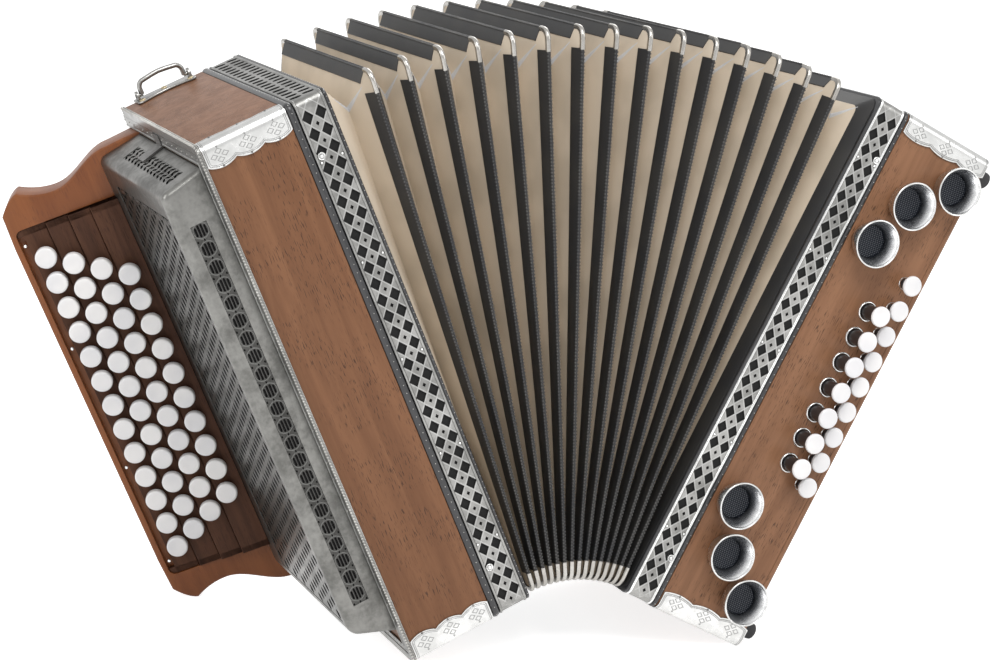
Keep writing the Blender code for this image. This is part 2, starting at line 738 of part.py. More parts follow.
def plate_point(path, height_sign):
    """A corner plate's place: path 0 at the bend's middle, positive down the front."""
    base = CORNER_RADIUS + GAP
    quarter = base * math.pi / 4
    centre_y, centre_z = -HALF_DEPTH + CORNER_RADIUS, BODY_HEIGHT - CORNER_RADIUS
    if path > quarter + 1e-6:
        y, z, normal = centre_y - base, centre_z - (path - quarter), (-1.0, 0.0)
    elif path < -quarter - 1e-6:
        y, z, normal = centre_y + (-quarter - path), centre_z + base, (0.0, 1.0)
    else:
        angle = math.radians(135) + path / base
        normal = (math.cos(angle), math.sin(angle))
        y, z = centre_y + base * normal[0], centre_z + base * normal[1]
    if height_sign < 0:
        z, normal = BODY_HEIGHT - z, (normal[0], -normal[1])
    return y, z, normal


def make_corner_plate(name, left, right, height_sign, parent, finish):
    """A sheet bent over a casing's front edge, its borders cut in lobes."""
    mesh_data = bmesh.new()
    columns = PLATE_LOBES * PLATE_STEPS
    quarter = (CORNER_RADIUS + GAP) * math.pi / 4
    front_flat = PLATE_FRONT_REACH - CORNER_RADIUS
    top_flat = PLATE_TOP_REACH - CORNER_RADIUS
    grid = {}
    for column in range(columns + 1):
        x = left + (right - left) * column / columns
        lobe = abs(math.sin(math.pi * column / PLATE_STEPS)) ** 0.7
        bend = [quarter * (2 * step / CORNER_STEPS - 1) for step in range(CORNER_STEPS + 1)]
        stations = ([-quarter - top_flat - PLATE_TOP_LOBE * lobe] + bend
                    + [quarter + front_flat + PLATE_LOBE_DROP * lobe])
        for row, path in enumerate(stations):
            y, z, normal = plate_point(path, height_sign)
            for side, lift in enumerate((0.0, PLATE_SHEET)):
                point = Vector((x, y + normal[0] * lift, z + normal[1] * lift)) * MM
                grid[column, row, side] = mesh_data.verts.new(point)
    last = CORNER_STEPS + 2
    for column in range(columns):
        for row in range(last):
            for side in (0, 1):
                mesh_data.faces.new([grid[column, row, side], grid[column + 1, row, side],
                                     grid[column + 1, row + 1, side], grid[column, row + 1, side]])
        for row in (0, last):
            mesh_data.faces.new([grid[column, row, 0], grid[column + 1, row, 0],
                                 grid[column + 1, row, 1], grid[column, row, 1]])
    for row in range(last):
        for column in (0, columns):
            mesh_data.faces.new([grid[column, row, 0], grid[column, row + 1, 0],
                                 grid[column, row + 1, 1], grid[column, row, 1]])
    return finish_mesh(name, mesh_data, parent, finish, 30)


def bracket_centre():
    """The strap bracket's middle on the treble's top: x, y."""
    return TREBLE_CASE_WIDTH / 2 + 1.0, HALF_DEPTH - BRACKET_FROM_BACK - BRACKET_WIDTH / 2


def make_bracket_plate(parent, finish):
    """The bracket's base plate, waisted towards the front, with two ears bored for the bail."""
    middle_x, middle_y = bracket_centre()
    half, back = BRACKET_LENGTH / 2, BRACKET_WIDTH / 2
    steps = 8
    outline = [(middle_x - half, middle_y + back), (middle_x - half, middle_y - back)]
    for step in range(1, steps):
        share = step / steps
        outline.append((middle_x - half + BRACKET_LENGTH * share,
                        middle_y - back + BRACKET_WAIST * math.sin(math.pi * share)))
    outline += [(middle_x + half, middle_y - back), (middle_x + half, middle_y + back)]
    base = BODY_HEIGHT + GAP
    plate = prism("strap_bracket_plate", outline, base, base + BRACKET_SHEET,
                  lambda u, v, w: (u, v, w), parent, finish)
    axis_z = bail_axis_z()

    def ears(mesh_data):
        for side in (-1, 1):
            x = middle_x + side * (BAIL_SPAN / 2)
            outer = [(middle_y + u, axis_z + v) for u, v in circle(BAIL_EAR, 10, math.pi / 10)]
            foot = [(middle_y - BAIL_EAR, base + 0.5), (middle_y + BAIL_EAR, base + 0.5)]
            ear = [point for point in outer if point[1] >= axis_z - 0.1] + foot
            near = x + side * (BAIL_ROD + GAP)
            add_prism(mesh_data, ear, near, near + side * BAIL_EAR_SHEET, lambda u, v, w: (w, u, v))

    def bores(mesh_data):
        ring = [(middle_y + u, axis_z + v) for u, v in circle(BAIL_ROD * BAIL_PIN_SHARE + GAP, 10)]
        reach = BAIL_SPAN / 2 + BAIL_ROD + 6
        add_prism(mesh_data, ring, middle_x - reach, middle_x + reach, lambda u, v, w: (w, u, v))
    add_boolean(plate, cutter("bracket_ears", ears, parent), "UNION")
    add_boolean(plate, cutter("bracket_bores", bores, parent))


def bail_axis_z():
    """The height of the bail's pins over the casing's bottom."""
    return BODY_HEIGHT + GAP + BRACKET_SHEET + BAIL_ROD + BAIL_LIFT


def make_bail(parent, finish):
    """The bowed rod that swings in the bracket's ears."""
    middle_x, middle_y = bracket_centre()
    half, base = BAIL_SPAN / 2, bail_axis_z()
    straight = BAIL_RISE - BAIL_ROD - 2 * (BAIL_ROD + BAIL_LIFT)
    leg = 0.55 * straight
    path = [(-half, 0.0), (-half, leg)]
    for step in range(1, 4):
        angle = math.radians(180 - 22.5 * step)
        path.append((-half + BAIL_CORNER * (1 + math.cos(angle)), leg + BAIL_CORNER * math.sin(angle)))
    path += [(0.0, straight + BAIL_BOW)]
    path += [(-u, v) for u, v in reversed(path[:-1])]
    mesh_data = bmesh.new()
    loops = []
    for index, (u, v) in enumerate(path):
        before, after = path[max(index - 1, 0)], path[min(index + 1, len(path) - 1)]
        along = Vector((after[0] - before[0], after[1] - before[1])).normalized()
        across = Vector((along.y, -along.x))
        loops.append([(middle_x + u + across.x * a, middle_y + b, base + v + across.y * a)
                      for a, b in circle(BAIL_ROD, 8)])
    add_loops(mesh_data, loops)
    bail = finish_mesh("strap_bail", mesh_data, parent, finish, 50)
    set_origin(bail, (middle_x, middle_y, base))

    def pins(mesh_data):
        ring = [(middle_y + u, base + v) for u, v in circle(BAIL_ROD * BAIL_PIN_SHARE, 10)]
        for side in (-1, 1):
            inner = middle_x + side * (half - 0.5)
            reach = BAIL_ROD + BAIL_EAR_SHEET + 0.8
            add_prism(mesh_data, ring, inner, inner + side * reach, lambda u, v, w: (w, u, v))
    add_boolean(bail, cutter("bail_pins", pins, parent), "UNION")


def make_sound_board(name, near, far, parent, finish):
    """The board that closes a casing and carries the reed blocks, with a row of air slots."""
    grow = -FRAME_WALL - GAP
    loops = [rounded_loop(x, grow) for x in (near, far)]
    board = loft(name, loops, parent, finish)

    def slots(mesh_data):
        low = (BODY_HEIGHT - REED_BLOCK_LENGTH) / 2
        step = REED_BLOCK_LENGTH / REED_NOTCHES
        for side in (-0.5, 0.5):
            for k in range(REED_NOTCHES):
                y, z = side * REED_BLOCK_SPACING, low + (k + 0.5) * step
                add_prism(mesh_data, box_outline(y - 8, y + 8, z - 4, z + 4), near - 3 * (far - near),
                          far + 3 * (far - near), lambda u, v, w: (w, u, v))
    add_boolean(board, cutter(name + "_slots", slots, parent))


def make_reed_block(name, face, direction, y, parent, finish):
    """A reed block standing on its sound board: a long tapered block, notched between its chambers."""
    low = (BODY_HEIGHT - REED_BLOCK_LENGTH) / 2
    foot, head = REED_BLOCK_WIDTH / 2, REED_BLOCK_WIDTH / 2 - 7
    start, end = face + direction * GAP, face + direction * (GAP + REED_BLOCK_HEIGHT)
    step = REED_BLOCK_LENGTH / REED_NOTCHES
    loops = []
    for k in range(REED_NOTCHES):
        for share, inset in ((0.0, 2.5), (0.12, 0.0), (0.88, 0.0)):
            z = low + (k + share) * step
            loops.append([(start, y - foot + inset, z), (start, y + foot - inset, z),
                          (end, y + head - inset, z), (end, y - head + inset, z)])
    z = low + REED_BLOCK_LENGTH
    loops.append([(start, y - foot + 2.5, z), (start, y + foot - 2.5, z),
                  (end, y + head - 2.5, z), (end, y - head + 2.5, z)])
    loft(name, loops, parent, finish)


# Bellows

def crease_ring(point, lean, depth, chamfer, shift):
    """One crease of the pleated wall in its own plane; depth(h) is how far it lies in at height h."""
    low, high = depth(0.0) + shift, BELLOWS_HEIGHT - depth(BELLOWS_HEIGHT) - shift
    side = []
    for step in range(SIDE_STEPS + 1):
        h = low + chamfer + (high - low - 2 * chamfer) * step / SIDE_STEPS
        side.append((BELLOWS_HALF_DEPTH - depth(h) - shift, h))
    wide_low, wide_high = side[0][0] - chamfer, side[-1][0] - chamfer
    ring = [(-wide_low, low), (wide_low, low)] + side
    ring += [(wide_high, high), (-wide_high, high)] + [(-y, h) for y, h in reversed(side)]
    angle = math.radians(lean)
    return [(point[0] + h * math.sin(angle), y, point[1] + h * math.cos(angle)) for y, h in ring]


def bellows_rings(first, last, tilt, shift):
    """The creases from fold plane first to fold plane last, ends drawn in by half a clearance."""
    points = fan_points(tilt)
    rings = []
    for index in range(first, last + 1):
        lean = fan_plane(index) - tilt
        nudge = GAP / 2 * ((index == first) - (index == last))
        if index in (0, FOLDS + 1):
            nudge *= 2
        angle = math.radians(lean)
        point = (points[index][0] + nudge * math.cos(angle), points[index][1] - nudge * math.sin(angle))
        rings.append(crease_ring(point, lean, lambda h: 0.0, PEAK_CHAMFER, shift))
        if index == last:
            break
        opening = math.radians(fan_plane(index + 1) - fan_plane(index))

        def valley_depth(h):
            return math.sqrt(FOLD_DEPTH ** 2 - ((BOTTOM_PITCH + h * opening) / 2) ** 2)
        ahead = points[index + 1]
        middle = ((points[index][0] + ahead[0]) / 2, (points[index][1] + ahead[1]) / 2)
        between = (fan_plane(index) + fan_plane(index + 1)) / 2 - tilt
        rings.append(crease_ring(middle, between, valley_depth, VALLEY_CHAMFER, shift))
    return rings


def make_bellows_section(number, tilt, parent, finish):
    """A run of folds: a pleated wall, open at both ends, in its carrier's frame."""
    first = (number - 1) * GAPS_PER_SECTION
    origin = parent.location / MM
    mesh_data = bmesh.new()
    walls = []
    for shift in (0.0, CARD_SHIFT):
        rings = bellows_rings(first, first + GAPS_PER_SECTION, tilt, shift)
        walls.append([[mesh_data.verts.new((Vector(p) - origin) * MM) for p in ring] for ring in rings])
    outer, inner = walls
    count = len(outer[0])
    for index in range(count):
        after = (index + 1) % count
        for wall in walls:
            for near, far in zip(wall, wall[1:]):
                mesh_data.faces.new((near[index], near[after], far[after]))
                mesh_data.faces.new((near[index], far[after], far[index]))
        for end in (0, -1):
            mesh_data.faces.new((outer[end][index], outer[end][after], inner[end][after], inner[end][index]))
    finish_mesh(f"bellows_{number}", mesh_data, parent, finish)


# Bass side

def bass_button_places():
    """Each bass button as (name, x, z, top, shaft radius)."""
    places = []
    half = (BASS_OUTER_COUNT - 1) / 2
    for k in range(BASS_OUTER_COUNT):
        z = BASS_CENTRE_Z + (half - k) * BASS_PITCH
        name = f"bass_button_outer_{k + 1}"
        places.append((name, -BASS_OUTER_FROM_END, z, BASS_OUTER_TOP, BASS_OUTER_SHAFT))
    half = (BASS_INNER_COUNT - 1) / 2
    for k in range(BASS_INNER_COUNT):
        z = BASS_CENTRE_Z + (half - k - 0.5) * BASS_PITCH
        x = -BASS_OUTER_FROM_END - BASS_ROW_PITCH
        places.append((f"bass_button_inner_{k + 1}", x, z, BASS_INNER_TOP, BASS_INNER_SHAFT))
    return places


def make_bass_casing(parent, finish):
    """The casing's ring of walls, bored for the buttons, with a ferrule round each inner button."""
    outer, inner = -END_COVER, -BASS_CASE_WIDTH
    loops = [rounded_loop(outer - GAP, 0), rounded_loop(inner, 0),
             rounded_loop(inner, -CASE_WALL), rounded_loop(outer - GAP, -CASE_WALL)]
    casing = loft("bass_casing", loops, parent, finish, closed=True, smooth_angle=35)

    def ferrules(mesh_data):
        for name, x, z, _, shaft in bass_button_places():
            if "inner" in name:
                ring = [(x + u, z + v) for u, v in circle(shaft + FERRULE_WALL, BASS_SEGMENTS)]
                add_prism(mesh_data, ring, -HALF_DEPTH - FERRULE_RISE, -HALF_DEPTH + 2,
                          lambda u, v, w: (u, w, v))

    def bores(mesh_data):
        for _, x, z, _, shaft in bass_button_places():
            ring = [(x + u, z + v) for u, v in circle(shaft + BASS_HOLE_CLEARANCE, BASS_SEGMENTS)]
            add_prism(mesh_data, ring, -HALF_DEPTH - 6, -HALF_DEPTH + CASE_WALL + 3,
                      lambda u, v, w: (u, w, v))
        x, z = -AIR_FROM_END, BODY_HEIGHT - AIR_FROM_TOP
        ring = [(x + u, z + v) for u, v in circle(BASS_OUTER_SHAFT + BASS_HOLE_CLEARANCE, BASS_SEGMENTS)]
        add_prism(mesh_data, ring, HALF_DEPTH - CASE_WALL - 3, HALF_DEPTH + 6,
                  lambda u, v, w: (u, w, v))
    add_boolean(casing, cutter("ferrules", ferrules, parent), "UNION")
    add_boolean(casing, cutter("bass_bores", bores, parent))


def button_profile(top, cap_radius, cap_height, shaft):
    """A button's turned profile: cap, shaft through the wall and the collar that keeps it in."""
    collar = -CASE_WALL - BASS_HOLE_CLEARANCE
    return [(top, 0), (top, cap_radius - 0.5), (top - cap_height, cap_radius),
            (top - cap_height, shaft), (collar, shaft), (collar, shaft + BASS_COLLAR),
            (collar - BASS_COLLAR, shaft + BASS_COLLAR), (collar - BASS_COLLAR, 0)]


def make_horn(name, x, z, parent, finish):
    """A sound horn: a thin flared bell with a closed throat."""
    outer, inner = [], []
    for step in range(HORN_STEPS + 1):
        share = step / HORN_STEPS
        radius = HORN_NECK_RADIUS + (HORN_RIM_RADIUS - HORN_NECK_RADIUS) * share ** 0.55
        outer.append((GAP + (HORN_RISE - GAP) * share, radius))
    for along, radius in reversed(outer[1:]):
        inner.append((along, radius - HORN_WALL))
    throat = GAP + HORN_WALL
    profile = [(GAP, 0)] + outer + inner + [(throat, HORN_NECK_RADIUS - HORN_WALL), (throat, 0)]
    turned(name, profile, (x, -HALF_DEPTH, z), (0, -1, 0), parent, finish, HORN_SEGMENTS)


def make_hand_strap(parent, finish):
    """The leather hand strap, arched over the end cover and fastened flat at both ends."""
    steps = 12
    rail = [(GAP, STRAP_LOW), (GAP, STRAP_LOW + STRAP_END)]
    span = STRAP_HIGH - STRAP_LOW - 2 * STRAP_END
    for step in range(1, steps):
        share = step / steps
        rise = STRAP_BULGE * math.sin(math.pi * share) ** 1.2
        rail.append((GAP + rise, STRAP_LOW + STRAP_END + span * share))
    rail += [(GAP, STRAP_HIGH - STRAP_END), (GAP, STRAP_HIGH)]
    loops = []
    for index, (x, z) in enumerate(rail):
        before, after = rail[max(index - 1, 0)], rail[min(index + 1, len(rail) - 1)]
        along = Vector((after[0] - before[0], after[1] - before[1])).normalized()
        out = Vector((along.y, -along.x)) * STRAP_THICK
        low, high = STRAP_Y - STRAP_WIDTH / 2, STRAP_Y + STRAP_WIDTH / 2
        loops.append([(x, low, z), (x, high, z), (x + out.x, high, z + out.y), (x + out.x, low, z + out.y)])
    loft("hand_strap", loops, parent, finish, smooth_angle=40)


# Assembly

def build():
    """Builds the accordion, standing, with its origin under the middle of its box."""
    for old in list(bpy.data.objects):
        bpy.data.objects.remove(old)
    walnut = material("walnut", (0.30, 0.17, 0.10), 0.45)
    cherry = material("cherry_board", (0.32, 0.11, 0.04), 0.4)
    dark_wood = material("dark_step_board", (0.09, 0.04, 0.03), 0.5)
    silver = material("aged_silver", (0.55, 0.55, 0.53), 0.38, 1.0)
    bright = material("bright_silver", (0.75, 0.75, 0.75), 0.25, 1.0)
    pearl = material("pearl", (0.85, 0.85, 0.83), 0.25)
    black_frame = material("black_frame", (0.03, 0.03, 0.035), 0.4)
    card = material("bellows_card", (0.48, 0.41, 0.32), 0.75)
    spruce = material("spruce", (0.55, 0.40, 0.24), 0.6)
    rubber = material("rubber", (0.03, 0.03, 0.03), 0.8)
    leather = material("leather", (0.05, 0.04, 0.035), 0.6)

    tilt = standing_tilt()
    master = empty("accordion")
    treble = empty("treble_side", master)
    treble.rotation_euler = (0, math.radians(-tilt), 0)

    make_treble_casing(treble, walnut)
    profile = frame_profile(TREBLE_CASE_WIDTH, TREBLE_BEAD, 1)
    ring_from_profile("treble_bellows_frame", profile, treble, black_frame)
    band_start = TREBLE_CASE_WIDTH + TREBLE_BEAD
    make_band("treble_band", band_start, band_start + BAND_WIDTH, treble, silver)
    make_hood(treble, silver)
    make_hood_clip(treble, bright)
    make_keyboard_body(treble, cherry)
    make_step_board(treble, dark_wood)
    for row in range(TREBLE_ROWS):
        make_button_row(row, treble, pearl)
    make_trim(treble, silver)
    left, right = TRIM_FACE + GAP, TREBLE_CASE_WIDTH - GAP
    make_corner_plate("treble_corner_plate_top", left, right, 1, treble, bright)
    make_corner_plate("treble_corner_plate_bottom", left, right, -1, treble, bright)
    make_bracket_plate(treble, bright)
    make_bail(treble, bright)
    near = TREBLE_CASE_WIDTH + GAP * 2
    make_sound_board("treble_sound_board", near, near + SOUND_BOARD, treble, spruce)
    for number, side in ((1, -0.5), (2, 0.5)):
        make_reed_block(f"treble_reed_block_{number}", near + SOUND_BOARD, 1, side * REED_BLOCK_SPACING,
                        treble, spruce)

    points = fan_points(tilt)
    make_bellows_section(1, tilt, master, card)
    for number in range(2, GAPS_PER_SECTION + 1):
        hinge = points[(number - 2) * GAPS_PER_SECTION + GAPS_PER_SECTION // 2]
        carrier = empty(f"bellows_carrier_{number}", master)
        carrier.location = Vector((hinge[0], 0.0, hinge[1])) * MM
        make_bellows_section(number, tilt, carrier, card)

    hinge = points[FOLDS - 1]
    bass = empty("bass_side", master)
    bass.location = Vector((hinge[0], 0.0, hinge[1])) * MM
    bass.rotation_euler = (0, math.radians(FAN_ANGLE - tilt), 0)
    make_bass_casing(bass, walnut)
    profile = frame_profile(-BASS_CASE_WIDTH, BASS_BEAD, -1)
    ring_from_profile("bass_bellows_frame", profile, bass, black_frame)
    band_start = -BASS_CASE_WIDTH - BASS_BEAD
    make_band("bass_band", band_start, band_start - BAND_WIDTH, bass, silver)
    left, right = -BASS_CASE_WIDTH + GAP, -GAP
    make_corner_plate("bass_corner_plate_top", left, right, 1, bass, bright)
    make_corner_plate("bass_corner_plate_bottom", left, right, -1, bass, bright)
    loft("bass_end_cover", [rounded_loop(-END_COVER, 0), rounded_loop(0, 0)], bass, walnut, smooth_angle=35)
    number = 0
    for from_end, from_side in HORN_PLACES:
        for z in (BODY_HEIGHT - from_side, from_side):
            number += 1
            make_horn(f"bass_horn_{number}", -from_end, z, bass, bright)
    for name, x, z, top, shaft in bass_button_places():
        turned(name, button_profile(top, BASS_CAP_RADIUS, BASS_CAP_HEIGHT, shaft), (x, -HALF_DEPTH, z),
               (0, -1, 0), bass, pearl, BASS_SEGMENTS)
    profile = button_profile(AIR_TOP, AIR_RADIUS, AIR_TOP - AIR_TRAVEL - CAP_CLEARANCE, BASS_OUTER_SHAFT)
    turned("air_button", profile, (-AIR_FROM_END, HALF_DEPTH, BODY_HEIGHT - AIR_FROM_TOP), (0, 1, 0),
           bass, pearl, BASS_SEGMENTS)
    number = 0
    for y in (-HALF_DEPTH + FOOT_INSET, HALF_DEPTH - FOOT_INSET):
        for z in (BODY_HEIGHT - FOOT_INSET, FOOT_INSET):
            number += 1
            profile = [(GAP, 0), (GAP, FOOT_RADIUS), (FOOT_HEIGHT - FOOT_BEVEL, FOOT_RADIUS),
                       (FOOT_HEIGHT, FOOT_RADIUS - FOOT_BEVEL), (FOOT_HEIGHT, 0)]
            turned(f"rubber_foot_{number}", profile, (0, y, z), (1, 0, 0), bass, rubber, FOOT_SEGMENTS)
    make_hand_strap(bass, leather)
    near = -BASS_CASE_WIDTH - GAP * 2
    make_sound_board("bass_sound_board", near, near - SOUND_BOARD, bass, spruce)
    make_reed_block("bass_reed_block", near - SOUND_BOARD, -1, 0.0, bass, spruce)
    corner = bass_corner(tilt)
    offset = Vector((corner[0] - hinge[0], 0.0, corner[1] - hinge[1])) * MM
    offset.rotate(Matrix.Rotation(-math.radians(FAN_ANGLE - tilt), 3, "Y"))
    for piece in bass.children:
        piece.location += offset

    stand(master)


def stand(master):
    """Moves the whole instrument so that its box stands centred over the origin."""
    bpy.context.view_layer.update()
    depsgraph = bpy.context.evaluated_depsgraph_get()
    low, high = Vector((1e9,) * 3), Vector((-1e9,) * 3)
    for item in bpy.context.scene.objects:
        if item.type != "MESH" or item.hide_render:
            continue
        shown = item.evaluated_get(depsgraph)
        for corner in shown.data.vertices:
            place = shown.matrix_world @ corner.co
            low = Vector(map(min, low, place))
            high = Vector(map(max, high, place))
    middle = (low + high) / 2
    master.location = (-middle.x, -middle.y, -low.z)
    bpy.context.view_layer.update()


build()
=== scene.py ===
"""A four-row diatonic button accordion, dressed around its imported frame.

The treble side and the bass side each have their own upright frame in millimetres: x across from the
outer end, y from front to back about the middle, z up from the casing's bottom. A Side turns those
millimetres into the scene's metres. The bellows are drawn between the two, fold by fold.
"""

import functools
import json
import logging
import math
from collections.abc import Callable, Iterable, Sequence
from dataclasses import dataclass
from enum import Enum

import bmesh
import bpy
import numpy as np
from bpy.types import Material, Mesh, Node, NodeSocket, NodeTree, Object
from mathutils import Matrix, Vector


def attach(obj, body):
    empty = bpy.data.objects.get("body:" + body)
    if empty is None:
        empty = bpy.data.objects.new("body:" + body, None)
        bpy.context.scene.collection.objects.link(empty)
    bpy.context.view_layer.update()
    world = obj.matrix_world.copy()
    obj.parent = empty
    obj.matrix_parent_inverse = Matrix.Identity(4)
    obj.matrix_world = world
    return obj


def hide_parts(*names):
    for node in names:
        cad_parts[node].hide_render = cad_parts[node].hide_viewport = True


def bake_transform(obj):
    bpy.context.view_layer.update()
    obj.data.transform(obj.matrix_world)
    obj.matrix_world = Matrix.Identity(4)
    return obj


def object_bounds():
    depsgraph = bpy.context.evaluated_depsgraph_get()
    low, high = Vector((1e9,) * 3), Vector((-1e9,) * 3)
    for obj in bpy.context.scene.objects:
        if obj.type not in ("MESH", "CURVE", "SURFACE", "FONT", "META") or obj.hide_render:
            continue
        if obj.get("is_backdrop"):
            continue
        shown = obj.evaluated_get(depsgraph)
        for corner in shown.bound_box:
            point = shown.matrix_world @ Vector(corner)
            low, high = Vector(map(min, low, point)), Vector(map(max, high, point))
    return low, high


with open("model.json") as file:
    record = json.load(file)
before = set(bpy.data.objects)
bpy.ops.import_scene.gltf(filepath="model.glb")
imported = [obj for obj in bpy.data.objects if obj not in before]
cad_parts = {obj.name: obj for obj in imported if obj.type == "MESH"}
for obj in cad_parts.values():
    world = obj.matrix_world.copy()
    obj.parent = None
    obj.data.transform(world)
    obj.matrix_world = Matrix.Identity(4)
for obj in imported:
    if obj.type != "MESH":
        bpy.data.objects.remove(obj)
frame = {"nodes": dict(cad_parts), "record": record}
CAD_BOX = [list(corner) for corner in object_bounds()]

log = logging.getLogger("accordion")
Point = Sequence[float]
Loop = list[Point]
Outline = list[tuple[float, float]]
Colour = tuple[float, float, float]
MM = 0.001

HEIGHT = 380.0
HALF = 96.0
RADIUS = 5.0


@dataclass(frozen=True)
class Side:
    """One end of the instrument and the frame in which its pieces are drawn.

    Args:
        body: the frame body that its fixed pieces ride on.
        origin: where its own zero lies, in metres.
        lean: how far its upright leans towards +x, in radians.
    """

    body: str
    origin: tuple[float, float, float]
    lean: float

    @property
    def matrix(self) -> Matrix:
        """The move from this side's metres to the scene's."""
        return Matrix.Translation(self.origin) @ Matrix.Rotation(self.lean, 4, "Y")

    @classmethod
    def from_mount(cls, body: str, mount: str, place: Point) -> "Side":
        """Finds a side from a mount on its casing's bottom.

        Args:
            body: the body's name.
            mount: the mount's name in the record.
            place: where that mount lies in the side's own millimetres.

        Returns:
            The side.
        """
        found = next(m for m in frame["record"]["mounts"] if m["name"] == mount)
        down = Vector(found["axis"])
        lean = math.atan2(-down.x, -down.z)
        turned = Matrix.Rotation(lean, 3, "Y") @ (Vector(place) * MM)
        return cls(body, tuple(Vector(found["pos_m"]) - turned), lean)


TREBLE = Side.from_mount("treble", "treble_plate_bottom", (32.1, -89.0, -1.1))
BASS = Side.from_mount("bass", "bass_plate_bottom", (-37.25, -89.0, -1.1))


# Drawing

class Draft:
    """A mesh under construction, in millimetres."""

    def __init__(self) -> None:
        """Starts with nothing in it."""
        self.points: list[tuple[float, ...]] = []
        self.faces: list[tuple[int, ...]] = []
        self.tags: list[int] = []
        self.runs: list[tuple[float, float, float]] = []

    def add(self, loop: Iterable[Point], runs: Iterable[Point] = ()) -> list[int]:
        """Adds points.

        Args:
            loop: the points.
            runs: for each point, the place that its pattern reads.

        Returns:
            Their indices.
        """
        start = len(self.points)
        self.points.extend(tuple(point) for point in loop)
        self.runs.extend(tuple(run) for run in runs)
        return list(range(start, len(self.points)))

    def face(self, indices: Sequence[int], tag: int = 0) -> None:
        """Adds one face that wears the finish numbered tag."""
        self.faces.append(tuple(indices))
        self.tags.append(tag)

    def skin(self, rings: Sequence[Sequence[int]], tag: int = 0, around: bool = True,
             along: bool = False) -> None:
        """Joins rings of indices with quads.

        Args:
            rings: rings of equal length.
            tag: the finish's number.
            around: whether each ring closes on itself.
            along: whether the last ring joins the first.
        """
        pairs = list(zip(rings, rings[1:]))
        if along:
            pairs.append((rings[-1], rings[0]))
        count = len(rings[0])
        for first, second in pairs:
            for index in range(count if around else count - 1):
                after = (index + 1) % count
                self.face((first[index], first[after], second[after], second[index]), tag)

    def loft(self, loops: Sequence[Loop], tag: int = 0, along: bool = False) -> None:
        """Skins closed loops; the two ends get a face unless the last loop joins the first."""
        rings = [self.add(loop) for loop in loops]
        self.skin(rings, tag, True, along)
        if not along:
            self.face(rings[0], tag)
            self.face(rings[-1][::-1], tag)

    def prism(self, outline: Sequence[Point], low: float, high: float, place: Callable[..., Point],
              tag: int = 0) -> None:
        """Pushes a flat outline from low to high, place(u, v, w) giving each point."""
        self.loft([[place(u, v, w) for u, v in outline] for w in (low, high)], tag)

    def box(self, low: Point, high: Point, span: Point, place: Callable[..., Point], tag: int = 0) -> None:
        """Pushes the rectangle between two corners over a span."""
        self.prism([low, (high[0], low[1]), high, (low[0], high[1])], *span, place, tag)

    def lathe(self, profile: Sequence[Point], centre: Point, axis: Point, segments: int = 32,
              tag: int = 0) -> None:
        """Turns a profile of (along, radius) about an axis; radius 0 closes an end."""
        forward = Vector(axis).normalized()
        side = forward.orthogonal().normalized()
        across = forward.cross(side)
        rings: list[list[int]] = []
        for along, radius in profile:
            middle = Vector(centre) + forward * along
            rings.append(self.add([middle + side * u + across * v for u, v in circle(radius, segments)]
                                  if radius else [middle]))
        for first, second in zip(rings, rings[1:]):
            for index in range(segments):
                after = (index + 1) % segments
                if len(first) == 1:
                    self.face((first[0], second[index], second[after]), tag)
                elif len(second) == 1:
                    self.face((first[index], second[0], first[after]), tag)
                else:
                    self.face((first[index], second[index], second[after], first[after]), tag)

    def sweep(self, path: Sequence[Point], section: Sequence[Point], lift: Point) -> None:
        """Carries a closed section along an open path.

        Args:
            path: the points to follow.
            section: (aside, lifted) offsets.
            lift: a direction that the section's second axis leans towards.
        """
        places = [Vector(point) for point in path]
        loops: list[Loop] = []
        for index, place in enumerate(places):
            along = (places[min(index + 1, len(places) - 1)] - places[max(index - 1, 0)]).normalized()
            aside = along.cross(Vector(lift)).normalized()
            up = aside.cross(along)
            loops.append([place + aside * a + up * b for a, b in section])
        self.loft(loops)


def arc(centre: Point, radius: float, start: float, end: float, steps: int) -> Outline:
    """Points along a circle from one angle to another, in degrees, both ends included."""
    angles = [math.radians(start + (end - start) * k / steps) for k in range(steps + 1)]
    return [(centre[0] + radius * math.cos(a), centre[1] + radius * math.sin(a)) for a in angles]


def circle(radius: float, count: int) -> Outline:
    """A round outline with count points."""
    return arc((0.0, 0.0), radius, 0, 360, count)[:-1]


def rounded_loop(x: float, grow: float = 0.0) -> Loop:
    """The casing's rounded rectangle at one x, grown outwards."""
    turn = max(RADIUS + grow, 0.4)
    y, low, high = HALF + grow - turn, turn - grow, HEIGHT + grow - turn
    corners = enumerate(((y, high), (-y, high), (-y, low), (y, low)))
    return [(x, *place) for k, corner in corners for place in arc(corner, turn, 90 * k, 90 * k + 90, 8)]


def ring(draft: Draft, profile: Sequence[Point], tag: int = 0) -> None:
    """Sweeps a closed profile of (x, grow) round the casing's outline."""
    draft.loft([rounded_loop(x, grow) for x, grow in profile], tag, along=True)


def upright(x: float, z: float, y: float) -> Point:
    """Places a drawing seen from the front."""
    return (x, y, z)


def sideways(y: float, z: float, x: float) -> Point:
    """Places a drawing seen from the end."""
    return (x, y, z)


